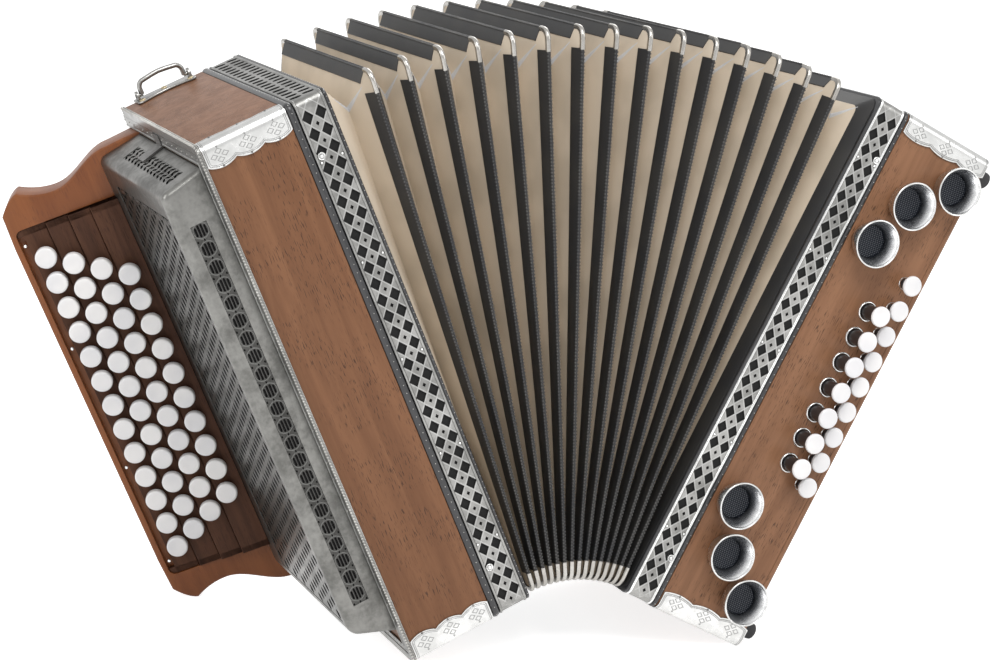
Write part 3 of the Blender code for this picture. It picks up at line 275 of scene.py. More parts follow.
def shape(draft: Draft, name: str, bevel: float = 0.0) -> Mesh:
    """Turns a draft into a closed mesh whose faces point outwards.

    Args:
        draft: the mesh under construction.
        name: the mesh's name.
        bevel: the width of the bevel along its sharp edges, in millimetres.

    Returns:
        The mesh, in metres.
    """
    mesh = bpy.data.meshes.new(name)
    mesh.from_pydata([tuple(c * MM for c in point) for point in draft.points], [], draft.faces)
    if draft.runs:
        run = mesh.attributes.new("run", "FLOAT_VECTOR", "POINT")
        run.data.foreach_set("vector", [c for r in draft.runs for c in r])
    mesh.polygons.foreach_set("material_index", draft.tags)
    shaped = bmesh.new()
    shaped.from_mesh(mesh)
    bmesh.ops.remove_doubles(shaped, verts=shaped.verts, dist=1e-6)
    bmesh.ops.recalc_face_normals(shaped, faces=shaped.faces)
    if bevel:
        edges = [e for e in shaped.edges if len(e.link_faces) == 2 and e.calc_face_angle() > math.radians(40)]
        bmesh.ops.bevel(shaped, geom=edges, offset=bevel * MM, segments=3, profile=0.5, affect="EDGES",
                        clamp_overlap=True)
    return close_bmesh(shaped, mesh)


def close_bmesh(work: bmesh.types.BMesh, mesh: Mesh | None = None) -> Mesh:
    """Writes a bmesh into a mesh, a new one if none is given, and frees it."""
    mesh = mesh or bpy.data.meshes.new("made")
    work.to_mesh(mesh)
    work.free()
    return mesh


def evaluate(first: Mesh, second: Mesh, modify: Callable[[Object, Object], None]) -> Mesh:
    """Puts a live modifier on one mesh and keeps its result as a plain mesh.

    Args:
        first: the mesh that is changed.
        second: the mesh that the modifier uses.
        modify: adds the modifier, given both as objects.

    Returns:
        The result.
    """
    pair = [bpy.data.objects.new("work", mesh) for mesh in (first, second)]
    for item in pair:
        bpy.context.scene.collection.objects.link(item)
    modify(*pair)
    bpy.context.view_layer.update()
    made = bpy.data.meshes.new_from_object(pair[0].evaluated_get(bpy.context.evaluated_depsgraph_get()))
    for item in pair:
        bpy.data.objects.remove(item)
    return made


def cut(mesh: Mesh, tool: Mesh) -> Mesh:
    """Takes one closed mesh away from another."""
    def modify(whole: Object, taken: Object) -> None:
        """Adds the cut."""
        modifier = whole.modifiers.new("cut", "BOOLEAN")
        modifier.operation, modifier.solver, modifier.object = "DIFFERENCE", "EXACT", taken
    return evaluate(mesh, tool, modify)


# Node trees

class Wiring:
    """A node tree while it is being wired."""

    def __init__(self, tree: NodeTree) -> None:
        """Keeps the tree."""
        self.tree = tree

    def feed(self, node: Node, **values: object) -> None:
        """Sets a node's inputs.

        Args:
            node: the node.
            values: its inputs, by name with spaces as underscores or by number as i0, i1 and so on, each a
                value or a socket.
        """
        for key, value in values.items():
            socket = node.inputs[int(key[1:]) if key[1:].isdigit() else key.replace("_", " ")]
            if isinstance(value, NodeSocket):
                self.tree.links.new(value, socket)
            else:
                socket.default_value = (*value, 1.0) if socket.type == "RGBA" else value

    def node(self, kind: str, settings: dict[str, object] | None = None, **values: object) -> Node:
        """Adds a node.

        Args:
            kind: the node's type.
            settings: its properties.
            values: its inputs, as in feed.

        Returns:
            The node.
        """
        made = self.tree.nodes.new(kind)
        for key, value in (settings or {}).items():
            setattr(made, key, value)
        self.feed(made, **values)
        return made

    def math(self, operation: str, first: object, second: object = 0.0) -> NodeSocket:
        """Adds one sum, named as in the Math node, and returns its result."""
        return self.node("ShaderNodeMath", {"operation": operation}, i0=first, i1=second).outputs[0]

    def times(self, first: object, second: object) -> NodeSocket:
        """Multiplies two values."""
        return self.math("MULTIPLY", first, second)

    def plus(self, first: object, second: object) -> NodeSocket:
        """Adds two values."""
        return self.math("ADD", first, second)

    def minus(self, first: object, second: object) -> NodeSocket:
        """Takes the second value from the first."""
        return self.math("SUBTRACT", first, second)

    def gap(self, first: object, second: object) -> NodeSocket:
        """How far apart two values are."""
        return self.math("ABSOLUTE", self.minus(first, second))

    def ramp(self, value: NodeSocket, low: float, high: float) -> NodeSocket:
        """Spreads a value from low..high over 0..1, smoothly."""
        return self.node("ShaderNodeMapRange", {"interpolation_type": "SMOOTHSTEP"}, i0=value, i1=low,
                         i2=high).outputs[0]

    def below(self, value: NodeSocket, low: float, high: float) -> NodeSocket:
        """1 where a value lies under low, fading to 0 at high."""
        return self.minus(1.0, self.ramp(value, low, high))

    def mix(self, share: object, first: object, second: object) -> NodeSocket:
        """Mixes two colours, share telling how much of the second shows."""
        return self.node("ShaderNodeMix", {"data_type": "RGBA"}, i0=share, i6=first, i7=second).outputs[2]

    def noise(self, vector: NodeSocket, scale: float, detail: float = 3.0, rough: float = 0.5) -> NodeSocket:
        """Adds a cloudy pattern and returns its value."""
        return self.node("ShaderNodeTexNoise", None, Vector=vector, Scale=scale, Detail=detail,
                         Roughness=rough).outputs[0]

    def drawn(self, vector: NodeSocket, share: float) -> NodeSocket:
        """Draws a pattern out along z by shrinking the vector's z to a share."""
        return self.node("ShaderNodeVectorMath", {"operation": "MULTIPLY"}, i0=vector,
                         i1=(1.0, 1.0, share)).outputs[0]

    def parts(self, vector: NodeSocket) -> Sequence[NodeSocket]:
        """A vector's three parts."""
        return self.node("ShaderNodeSeparateXYZ", None, Vector=vector).outputs


UNDERCOAT = bpy.data.materials.new("undercoat")


class Repeater:
    """Geometry Nodes that repeat one shape over a grid, or along a path.

    The trees set the undercoat, which finish_piece changes for the piece's own finishes.
    """

    def __init__(self) -> None:
        """Builds both node trees."""
        self.grid = self._grid_tree()
        self.path = self._path_tree()

    @staticmethod
    def _start(name: str, **inputs: str) -> tuple[Wiring, dict[str, NodeSocket]]:
        """Starts a tree.

        Args:
            name: the tree's name.
            inputs: each input's socket type by its name, with spaces as underscores.

        Returns:
            The tree's wiring, and what its inputs give by name.
        """
        tree = bpy.data.node_groups.new(name, "GeometryNodeTree")
        for label, kind in {"Geometry": "Geometry", "Shape": "Object", "Finish": "Material", **inputs}.items():
            tree.interface.new_socket(name=label.replace("_", " "), in_out="INPUT",
                                      socket_type=f"NodeSocket{kind}")
        tree.interface.new_socket(name="Geometry", in_out="OUTPUT", socket_type="NodeSocketGeometry")
        inlet = tree.nodes.new("NodeGroupInput")
        return Wiring(tree), {label: inlet.outputs[label.replace("_", " ")] for label in (
            "Geometry", "Shape", "Finish", *inputs)}

    @staticmethod
    def _finish(wires: Wiring, given: dict[str, NodeSocket], places: NodeSocket) -> NodeTree:
        """Sets the shape on each place, realizes it and sets its material.

        Args:
            wires: the tree's wiring.
            given: what its inputs give.
            places: the points to set it on.

        Returns:
            The tree.
        """
        stamp = wires.node("GeometryNodeObjectInfo", None, Object=given["Shape"])
        setting = wires.node("GeometryNodeInstanceOnPoints", None, Points=places,
                             Instance=stamp.outputs["Geometry"])
        realize = wires.node("GeometryNodeRealizeInstances", None, Geometry=setting.outputs[0])
        coat = wires.node("GeometryNodeSetMaterial", None, Geometry=realize.outputs[0],
                          Material=given["Finish"])
        wires.node("NodeGroupOutput", None, Geometry=coat.outputs[0])
        return wires.tree

    def _grid_tree(self) -> NodeTree:
        """A tree that sets a shape on each point of a grid, with every other row shifted."""
        wires, given = self._start("repeat on a grid", Start="Vector", Rows="Int", Row_Step="Vector", Columns="Int",
                                   Column_Step="Vector", Stagger="Vector")
        rows = wires.node("GeometryNodeMeshLine", None, Count=given["Rows"], Start_Location=given["Start"],
                          Offset=given["Row_Step"])
        columns = wires.node("GeometryNodeMeshLine", None, Count=given["Columns"], Offset=given["Column_Step"])
        odd = wires.math("MODULO", wires.node("GeometryNodeInputIndex").outputs[0], 2.0)
        shift = wires.node("ShaderNodeVectorMath", {"operation": "SCALE"}, i0=given["Stagger"], Scale=odd)
        moved = wires.node("GeometryNodeSetPosition", None, Geometry=rows.outputs[0], Offset=shift.outputs[0])
        spread = wires.node("GeometryNodeInstanceOnPoints", None, Points=moved.outputs[0],
                            Instance=columns.outputs[0])
        flat = wires.node("GeometryNodeRealizeInstances", None, Geometry=spread.outputs[0])
        return self._finish(wires, given, flat.outputs[0])

    def _path_tree(self) -> NodeTree:
        """A tree that sets a shape along the edges of a path at even steps."""
        wires, given = self._start("repeat along a path", Spacing="Float")
        curve = wires.node("GeometryNodeMeshToCurve", None, Mesh=given["Geometry"])
        points = wires.node("GeometryNodeCurveToPoints", {"mode": "LENGTH"}, Curve=curve.outputs[0],
                            Length=given["Spacing"])
        return self._finish(wires, given, points.outputs["Points"])

    @staticmethod
    def _run(tree: NodeTree, start: Mesh, stamp: Mesh, **values: object) -> Mesh:
        """Runs a tree once and keeps its result as a plain mesh.

        Args:
            tree: the node tree.
            start: the mesh that it starts from.
            stamp: the mesh that it repeats.
            values: the other inputs, by name with spaces as underscores.

        Returns:
            The result.
        """
        inputs = {item.name: item.identifier for item in tree.interface.items_tree if item.in_out == "INPUT"}

        def modify(host: Object, repeated: Object) -> None:
            """Adds the tree and sets its inputs."""
            modifier = host.modifiers.new("repeat", "NODES")
            modifier.node_group = tree
            for label, value in {"Shape": repeated, "Finish": UNDERCOAT, **values}.items():
                modifier[inputs[label.replace("_", " ")]] = value
        return evaluate(start, stamp, modify)

    def over_grid(self, stamp: Mesh, start: Point, rows: tuple[int, Point],
                  columns: tuple[int, Point] = (1, (0, 0, 0)), stagger: Point = (0, 0, 0)) -> Mesh:
        """Repeats a shape over a grid.

        Args:
            stamp: the mesh to repeat.
            start: the first place, in millimetres.
            rows: how many rows there are, and the step between them.
            columns: how many stand in a row, and the step between them.
            stagger: how far every other row is shifted.

        Returns:
            The repeated mesh.
        """
        def metres(values: Point) -> tuple[float, ...]:
            """Turns millimetres to metres."""
            return tuple(float(v) * MM for v in values)
        return self._run(self.grid, bpy.data.meshes.new("grid"), stamp, Start=metres(start), Rows=rows[0],
                         Row_Step=metres(rows[1]), Columns=columns[0], Column_Step=metres(columns[1]),
                         Stagger=metres(stagger))

    def along(self, stamp: Mesh, paths: Sequence[Sequence[Point]], spacing: float) -> Mesh:
        """Repeats a shape along paths.

        Args:
            stamp: the mesh to repeat.
            paths: the paths to follow, in millimetres.
            spacing: the step between the shapes.

        Returns:
            The repeated mesh.
        """
        points: list[tuple[float, ...]] = []
        edges: list[tuple[int, int]] = []
        for path in paths:
            start = len(points)
            points.extend(tuple(c * MM for c in place) for place in path)
            edges.extend((k, k + 1) for k in range(start, len(points) - 1))
        host = bpy.data.meshes.new("path")
        host.from_pydata(points, edges, [])
        return self._run(self.path, host, stamp, Spacing=spacing * MM)


REPEAT = Repeater()


def join_meshes(meshes: Sequence[Mesh]) -> Mesh:
    """Joins meshes into one new mesh."""
    joined = bmesh.new()
    for mesh in meshes:
        joined.from_mesh(mesh)
    return close_bmesh(joined)


def bead_shape(radius: float, squash: Point = (1.0, 1.0, 1.0)) -> Mesh:
    """A small faceted ball of a radius in millimetres, squashed along each axis by a share."""
    ball = bmesh.new()
    bmesh.ops.create_icosphere(ball, subdivisions=1, radius=radius * MM)
    bmesh.ops.scale(ball, vec=squash, verts=ball.verts)
    return close_bmesh(ball)


# Pierced sheets

class Openwork:
    """A pierced sheet: flat tiles set side by side, given a thickness and bent to their place."""

    def __init__(self) -> None:
        """Starts with no tiles."""
        self.flats: list[Mesh] = []

    @staticmethod
    def tile(outline: Sequence[Point], holes: Sequence[Sequence[Point]] = ()) -> Mesh:
        """Fills one flat tile in the x-z plane.

        Args:
            outline: its corners.
            holes: each hole's corners.

        Returns:
            The mesh, in metres.
        """
        flat = bmesh.new()
        for loop in (outline, *holes):
            corners = [flat.verts.new((x * MM, 0.0, z * MM)) for x, z in loop]
            for first, second in zip(corners, corners[1:] + corners[:1]):
                flat.edges.new((first, second))
        bmesh.ops.triangle_fill(flat, edges=flat.edges, use_beauty=True)
        return close_bmesh(flat)

    def repeat(self, outline: Sequence[Point], holes: Sequence[Sequence[Point]], start: Point,
               rows: tuple[int, Point], columns: tuple[int, Point] = (1, (0, 0, 0)),
               stagger: Point = (0, 0, 0)) -> None:
        """Adds a tile over a grid; the places are those of Repeater.over_grid."""
        self.flats.append(REPEAT.over_grid(self.tile(outline, holes), start, rows, columns, stagger))

    def patch(self, low: Point, high: Point) -> None:
        """Adds one plain tile between two corners."""
        self.flats.append(self.tile([low, (high[0], low[1]), high, (low[0], high[1])]))

    def close(self, place: Callable[[float, float, float], Point], thick: float, period: float = 0.0) -> Draft:
        """Welds the tiles and closes them.

        Args:
            place: turns (u, v, depth) into a point.
            thick: the sheet's thickness.
            period: the length in v after which the sheet meets its own start, or 0.

        Returns:
            The sheet, with (u, v, 0) as its run.
        """
        joined = bmesh.new()
        for flat in self.flats:
            joined.from_mesh(flat)
        bmesh.ops.remove_doubles(joined, verts=joined.verts, dist=6e-6)
        joined.verts.index_update()
        spots = [(v.co.x / MM, v.co.z / MM) for v in joined.verts]
        same = list(range(len(spots)))
        if period:
            firsts = [k for k, (_, v) in enumerate(spots) if abs(v) < 0.01]
            for k, (u, v) in enumerate(spots):
                if abs(v - period) < 0.01:
                    same[k] = min(firsts, key=lambda other: abs(spots[other][0] - u))
        draft = Draft()
        runs = [(u, v, 0.0) for u, v in spots]
        outer = draft.add([place(u, v, 0.0) for u, v in spots], runs)
        inner = draft.add([place(u, v, thick) for u, v in spots], runs)
        sides: set[tuple[int, int]] = set()
        for face in joined.faces:
            corners = [v.index for v in face.verts]
            area = sum(spots[a][0] * spots[b][1] - spots[b][0] * spots[a][1]
                       for a, b in zip(corners, corners[1:] + corners[:1]))
            corners = [same[k] for k in (corners if area > 0 else corners[::-1])]
            draft.face([outer[k] for k in corners])
            draft.face([inner[k] for k in corners[::-1]])
            sides.update(zip(corners, corners[1:] + corners[:1]))
        joined.free()
        for first, second in sides:
            if (second, first) not in sides:
                draft.face((outer[second], outer[first], inner[first], inner[second]))
        return draft


def diamond(x: float, z: float, half_x: float, half_z: float) -> Outline:
    """A rhomb's four corners."""
    return [(x + half_x, z), (x, z + half_z), (x - half_x, z), (x, z - half_z)]


def slot_outline(x: float, z: float, length: float, width: float, lean: float = 0.0,
                 ends: int = 2) -> Outline:
    """A slot with tapered round ends.

    Args:
        x: its middle's x.
        z: its middle's z.
        length: its length along z, before it leans.
        width: its width.
        lean: how far it is turned, in radians.
        ends: how many points round off each end.

    Returns:
        The outline.
    """
    half, flank = width / 2, length / 2 - width / 2
    points = []
    for side in (1, -1):
        for k in range(ends + 1):
            angle = math.pi * k / ends
            points.append((side * half * math.cos(angle), side * (flank + half * math.sin(angle))))
    cos, sin = math.cos(lean), math.sin(lean)
    return [(x + u * cos - v * sin, z + u * sin + v * cos) for u, v in points]


# Finishes

def new_group(name: str, sizes: dict[str, float], outputs: Sequence[str]) -> tuple[Wiring, Node, Node]:
    """Starts a shader node group that takes a place and some sizes.

    Args:
        name: the group's name.
        sizes: each size's name and usual value.
        outputs: the names of the values that it puts out.

    Returns:
        The tree's wiring, its input node and its output node.
    """
    tree = bpy.data.node_groups.new(name, "ShaderNodeTree")
    tree.interface.new_socket(name="Vector", in_out="INPUT", socket_type="NodeSocketVector")
    for label, usual in sizes.items():
        inlet = tree.interface.new_socket(name=label, in_out="INPUT", socket_type="NodeSocketFloat")
        inlet.default_value = usual
    for label in outputs:
        tree.interface.new_socket(name=label, in_out="OUTPUT", socket_type="NodeSocketFloat")
    return Wiring(tree), tree.nodes.new("NodeGroupInput"), tree.nodes.new("NodeGroupOutput")


def grain_group() -> NodeTree:
    """Wood grain: broad bands, fine fibres and short dark pores along the vector's z."""
    shade, inlet, outlet = new_group("wood grain", {"Band": 60.0, "Pore": 1.0}, ("Tone", "Pores", "Height"))
    place = inlet.outputs["Vector"]
    drawn = shade.drawn(place, 0.07)
    waves = shade.node("ShaderNodeTexNoise", None, Vector=drawn, Scale=inlet.outputs["Band"], Detail=4.0,
                       Roughness=0.62, Distortion=0.6).outputs[0]
    fibres = shade.noise(drawn, 620.0, 2.0, 0.6)
    specks = shade.noise(shade.drawn(place, 0.11), 1500.0, 1.0, 0.4)
    dashes = shade.times(shade.ramp(specks, 0.57, 0.67), shade.ramp(shade.noise(place, 45.0, 1.0), 0.3, 0.6))
    pores = shade.times(dashes, inlet.outputs["Pore"])
    tone = shade.plus(shade.times(shade.ramp(waves, 0.3, 0.7), 0.75), shade.times(fibres, 0.25))
    shade.feed(outlet, Tone=tone, Pores=pores, Height=shade.minus(shade.times(fibres, 0.3), pores))
    return shade.tree


def tarnish_group() -> NodeTree:
    """Aged metal: cloudy darkening, fine scratches, and darkening in corners by ambient occlusion that is partly
    dirt and partly painted shade.
    """
    shade, inlet, outlet = new_group("tarnish", {"Dirt Reach": 0.002}, ("Tarnish", "Dirt", "Scratch"))
    place = inlet.outputs["Vector"]
    clouds, fine = shade.noise(place, 38.0, 4.0, 0.6), shade.noise(place, 260.0, 3.0, 0.6)
    tarnish = shade.ramp(shade.plus(shade.times(clouds, 0.7), shade.times(fine, 0.3)), 0.36, 0.66)
    # Painted shade in part: ambient occlusion darkens corners and hollows, and the Dirt output carries this as dirt
    # and shade together.
    hollow = shade.node("ShaderNodeAmbientOcclusion", {"samples": 4}, Distance=inlet.outputs["Dirt Reach"])
    scratch = shade.ramp(shade.noise(shade.drawn(place, 0.05), 1500.0, 1.0), 0.55, 0.75)
    shade.feed(outlet, Tarnish=tarnish, Dirt=shade.below(hollow.outputs["AO"], 0.25, 0.95), Scratch=scratch)
    return shade.tree


GRAIN = grain_group()
TARNISH = tarnish_group()


def own_frame(shade: Wiring, side: Side) -> NodeSocket:
    """The place of a point in its side's own frame, in metres."""
    place = shade.node("ShaderNodeTexCoord").outputs["Object"]
    return shade.node("ShaderNodeMapping", {"vector_type": "TEXTURE"}, Vector=place, Location=side.origin,
                      Rotation=(0.0, side.lean, 0.0)).outputs[0]


class Dressing(Wiring):
    """A material under construction."""

    def __init__(self, made: Material) -> None:
        """Keeps the material and its shader."""
        made.use_nodes = True
        super().__init__(made.node_tree)
        self.made = made
        self.shader = made.node_tree.nodes["Principled BSDF"]

    def dress(self, **values: object) -> None:
        """Sets the shader's inputs, as in feed."""
        self.feed(self.shader, **values)

    def bump(self, height: NodeSocket, strength: float, distance: float) -> None:
        """Feeds a height to the shader's normal; distance is in millimetres."""
        node = self.node("ShaderNodeBump", None, Height=height, Strength=strength, Distance=distance * MM)
        self.dress(Normal=node.outputs[0])

    def cover(self, mark: object, colour: object) -> None:
        """Lays a colour over the shader's own where the mark says so."""
        self.dress(Base_Color=self.mix(mark, self.shader.inputs["Base Color"].links[0].from_socket, colour))

    def runs(self) -> Sequence[NodeSocket]:
        """The three parts of the places that the piece's run attribute holds."""
        return self.parts(self.node("ShaderNodeAttribute", {"attribute_name": "run"}).outputs["Vector"])


@dataclass(frozen=True)
class Finish:
    """The look of a surface."""

    name: str

    def material(self, side: Side) -> Material:
        """Builds the material, its pattern lying in the side's own frame."""
        shade = Dressing(bpy.data.materials.new(f"{self.name}_{side.body}"))
        self.wire(shade, own_frame(shade, side))
        return shade.made

    def wire(self, shade: Dressing, own: NodeSocket) -> None:
        """Wires the look; each kind of finish has its own way."""
        raise NotImplementedError


@dataclass(frozen=True)
class Wood(Finish):
    """A satin timber finish."""

    light: Colour
    dark: Colour
    pore: Colour
    roughness: float = 0.42
    band: float = 60.0
    pores: float = 1.0
    coat: float = 0.15

    def wire(self, shade: Dressing, own: NodeSocket) -> None:
        """Wires bands, fibres and pores."""
        tone, pores, height = shade.node("ShaderNodeGroup", {"node_tree": GRAIN}, Vector=own, Band=self.band,
                                         Pore=self.pores).outputs
        colour = shade.mix(shade.times(pores, 0.8), shade.mix(tone, self.dark, self.light), self.pore)
        shade.dress(Base_Color=colour, Roughness=shade.plus(shade.times(tone, -0.08), self.roughness + 0.05),
                    Coat_Weight=self.coat, Coat_Roughness=0.25, Specular_IOR_Level=0.2)
        shade.bump(height, 0.35, 0.12)


@dataclass(frozen=True)
class Metal(Finish):
    """A plated or aged metal finish."""

    bright: Colour
    dull: Colour
    # The colour laid in corners and hollows: partly dirt, partly painted shade.
    dirt: Colour
    roughness: float
    spread: float
    reach: float

    def wire(self, shade: Dressing, own: NodeSocket) -> None:
        """Wires clouds, dirt and painted shade in the corners, and scratches."""
        tarnish, dirt, scratch = shade.node("ShaderNodeGroup", {"node_tree": TARNISH}, Vector=own,
                                            Dirt_Reach=self.reach * MM).outputs
        # Corners and hollows darken towards that colour: partly dirt, partly painted shade.
        colour = shade.mix(shade.times(dirt, 0.85), shade.mix(tarnish, self.bright, self.dull), self.dirt)
        rough = shade.plus(shade.plus(shade.times(tarnish, self.spread), self.roughness),
                           shade.times(dirt, 0.2))
        shade.dress(Base_Color=colour, Roughness=rough, Metallic=1.0)
        shade.bump(scratch, 0.12, 0.03)


@dataclass(frozen=True)
class Plain(Finish):
    """A moulded, sewn or lacquered finish with a fine grain of its own."""

    main: Colour
    other: Colour
    roughness: float
    scale: float
    depth: float
    coat: float = 0.0

    def wire(self, shade: Dressing, own: NodeSocket) -> None:
        """Wires two close colours and a fine relief."""
        fine, broad = shade.noise(own, self.scale, 4.0, 0.6), shade.noise(own, 30.0, 2.0)
        shade.dress(Base_Color=shade.mix(shade.ramp(broad, 0.35, 0.65), self.main, self.other),
                    Roughness=shade.plus(shade.times(fine, 0.12), self.roughness - 0.06), Coat_Weight=self.coat)
        shade.bump(fine, 0.4, self.depth)


def even(value: float) -> Colour:
    """A neutral grey."""
    return (value, value, value)


WALNUT = Wood("walnut", (0.235, 0.108, 0.052), (0.15, 0.064, 0.03), (0.045, 0.02, 0.011), band=85.0, coat=0.1)
BASS_WALNUT = Wood("light_walnut", (0.30, 0.148, 0.078), (0.19, 0.088, 0.044), (0.06, 0.028, 0.015), band=85.0,
                   coat=0.1)
CHERRY = Wood("cherry", (0.25, 0.082, 0.022), (0.155, 0.043, 0.010), (0.07, 0.02, 0.008), pores=0.5, band=40.0,
              coat=0.25)
DARK_WOOD = Wood("step_wood", (0.10, 0.042, 0.022), (0.044, 0.018, 0.010), (0.02, 0.008, 0.006), 0.6, pores=0.6,
                 band=90.0, coat=0.0)
SPRUCE = Wood("spruce", (0.62, 0.46, 0.28), (0.52, 0.36, 0.20), (0.4, 0.26, 0.13), pores=0.2)
SILVER = Metal("aged_silver", (0.32, 0.316, 0.305), (0.20, 0.198, 0.19), even(0.03), 0.34, 0.12, 1.0)
HOOD_SILVER = Metal("hood_silver", (0.22, 0.217, 0.205), (0.12, 0.118, 0.111), (0.02, 0.02, 0.018), 0.3, 0.12,
                    1.5)
FLANK_SILVER = Metal("flank_silver", (0.17, 0.17, 0.16), (0.09, 0.09, 0.084), even(0.01), 0.28, 0.12, 1.2)
OPENWORK = Metal("rosette_silver", (0.085, 0.084, 0.08), (0.05, 0.049, 0.046), even(0.01), 0.4, 0.10, 1.0)
BRIGHT = Metal("bright_silver", (0.80, 0.80, 0.79), (0.60, 0.60, 0.59), even(0.10), 0.2, 0.1, 1.2)
PLATE = Metal("polished_silver", (0.66, 0.66, 0.65), (0.52, 0.52, 0.51), even(0.14), 0.24, 0.08, 0.8)
HORN = Metal("horn_silver", even(0.86), even(0.76), even(0.70), 0.24, 0.05, 0.5)
NICKEL = Metal("nickel", (0.46, 0.445, 0.42), (0.34, 0.325, 0.30), (0.06, 0.055, 0.05), 0.22, 0.10, 1.2)
EDGE = Metal("worn_edge", (0.32, 0.318, 0.305), (0.21, 0.208, 0.20), (0.05, 0.05, 0.048), 0.28, 0.12, 1.0)
STEEL = Metal("steel", (0.38, 0.375, 0.36), (0.24, 0.236, 0.225), (0.08, 0.08, 0.075), 0.25, 0.10, 1.2)
DOTS = Metal("worn_dots", (0.55, 0.54, 0.51), (0.38, 0.37, 0.35), (0.10, 0.10, 0.09), 0.35, 0.10, 0.8)
DARK_PIN = Metal("dark_pin", (0.22, 0.215, 0.21), (0.14, 0.135, 0.13), even(0.03), 0.35, 0.10, 0.8)
BRASS = Metal("worn_brass", (0.50, 0.42, 0.28), (0.38, 0.32, 0.21), (0.10, 0.08, 0.05), 0.32, 0.12, 1.2)
BLACK = Plain("black_lacquer", (0.012, 0.012, 0.014), (0.02, 0.02, 0.022), 0.35, 500.0, 0.03, 0.3)
# Painted shade: a near-black matte finish for hollow insides and for sheets set behind openings, standing for the
# shade seen there.
INSIDE_SHADE = Plain("painted_shade_inside", even(0.004), even(0.007), 0.95, 300.0, 0.02)
TAPE = Plain("black_tape", (0.012, 0.012, 0.013), (0.02, 0.019, 0.018), 0.55, 900.0, 0.06)
CORD = Plain("black_cord", (0.04, 0.04, 0.042), (0.075, 0.073, 0.07), 0.5, 900.0, 0.03)
CARD = Plain("card", (0.62, 0.53, 0.42), (0.54, 0.46, 0.36), 0.7, 420.0, 0.08)
GUSSET = Plain("gusset", (0.58, 0.58, 0.59), (0.50, 0.50, 0.51), 0.6, 380.0, 0.08)
PEARL = Plain("pearl", (0.86, 0.84, 0.83), (0.76, 0.75, 0.76), 0.2, 260.0, 0.01, 0.6)
RUBBER = Plain("rubber", (0.02, 0.02, 0.022), (0.03, 0.03, 0.032), 0.75, 700.0, 0.05)
LEATHER = Plain("leather", (0.03, 0.022, 0.018), (0.045, 0.034, 0.028), 0.55, 650.0, 0.12, 0.1)
THREAD = Plain("thread", (0.05, 0.042, 0.036), (0.03, 0.026, 0.022), 0.6, 900.0, 0.03)


@functools.cache
def paint(finish: Finish, side: Side) -> Material:
    """Gives the material of a finish on a side, made once."""
    return finish.material(side)


def finish_piece(made: Draft | Mesh, name: str, side: Side, finishes: Sequence[Finish | Material], *,
                 body: str | None = None, stands_for: Sequence[str] = (),
                 smooth: float = 35.0, bevel: float = 0.0) -> Object:
    """Turns a draft or a mesh into a finished piece of the model.

    Args:
        made: the draft, or a mesh in metres.
        name: the piece's name.
        side: the frame it was drawn in.
        finishes: its finishes or materials, in the order of its tags.
        body: the body it rides on, the side's own if left out, or "" to leave it unattached here.
        stands_for: the frame nodes that it takes the place of.
        smooth: edges sharper than this many degrees stay sharp.
        bevel: the width of the bevel along a draft's sharp edges, in millimetres.

    Returns:
        The piece.
    """
    mesh = shape(made, name, bevel) if isinstance(made, Draft) else made
    mesh.transform(side.matrix)
    tags = np.zeros(len(mesh.polygons), dtype=np.int32)
    mesh.polygons.foreach_get("material_index", tags)
    mesh.materials.clear()
    for finish in finishes:
        mesh.materials.append(paint(finish, side) if isinstance(finish, Finish) else finish)
    mesh.polygons.foreach_set("material_index", tags)
    mesh.shade_smooth()
    mesh.set_sharp_from_angle(angle=math.radians(smooth))
    piece = bpy.data.objects.new(name, mesh)
    bpy.context.scene.collection.objects.link(piece)
    if body != "":
        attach(piece, body or side.body)
    if stands_for:
        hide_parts(*stands_for)
    log.info("%s: %d faces", name, len(mesh.polygons))
    return piece


# Casings

TALL, WIDE, ARC = HEIGHT - 2 * RADIUS, 2 * (HALF - RADIUS), math.pi / 2 * RADIUS
OUTLINE = 2 * TALL + 2 * WIDE + 4 * ARC


def around(s: float, grow: float = 0.0) -> tuple[float, float]:
    """The place at arc length s round the casing, from the front's lower end upwards.

    Args:
        s: the length along the casing's outline.
        grow: how far outside it.

    Returns:
        The place as (y, z).
    """
    turn, y_in, z_in = RADIUS + grow, HALF - RADIUS, HEIGHT - RADIUS
    runs = ((TALL, (-y_in, RADIUS), (0, 1), (-y_in, z_in)), (WIDE, (-y_in, z_in), (1, 0), (y_in, z_in)),
            (TALL, (y_in, z_in), (0, -1), (y_in, RADIUS)), (WIDE, (y_in, RADIUS), (-1, 0), (-y_in, RADIUS)))
    s %= OUTLINE
    for length, start, along, corner in runs:
        out = (-along[1], along[0])
        if s <= length:
            return (start[0] + along[0] * s + out[0] * turn, start[1] + along[1] * s + out[1] * turn)
        s -= length
        if s <= ARC:
            cos, sin = math.cos(s / RADIUS), math.sin(s / RADIUS)
            return (corner[0] + turn * (out[0] * cos + along[0] * sin),
                    corner[1] + turn * (out[1] * cos + along[1] * sin))
        s -= ARC
    return (-y_in - turn, RADIUS)


def dome(draft: Draft, place: Point, out: Point, radius: float, high: float, segments: int = 14) -> None:
    """Adds a low round head that stands on a surface."""
    steps = [(high * along, radius * wide) for wide, along in arc((0.0, 0.0), 1.0, 0, 67.5, 3)]
    draft.lathe([(-0.4, 0), (-0.4, radius)] + steps + [(high, 0)], place, out, segments)


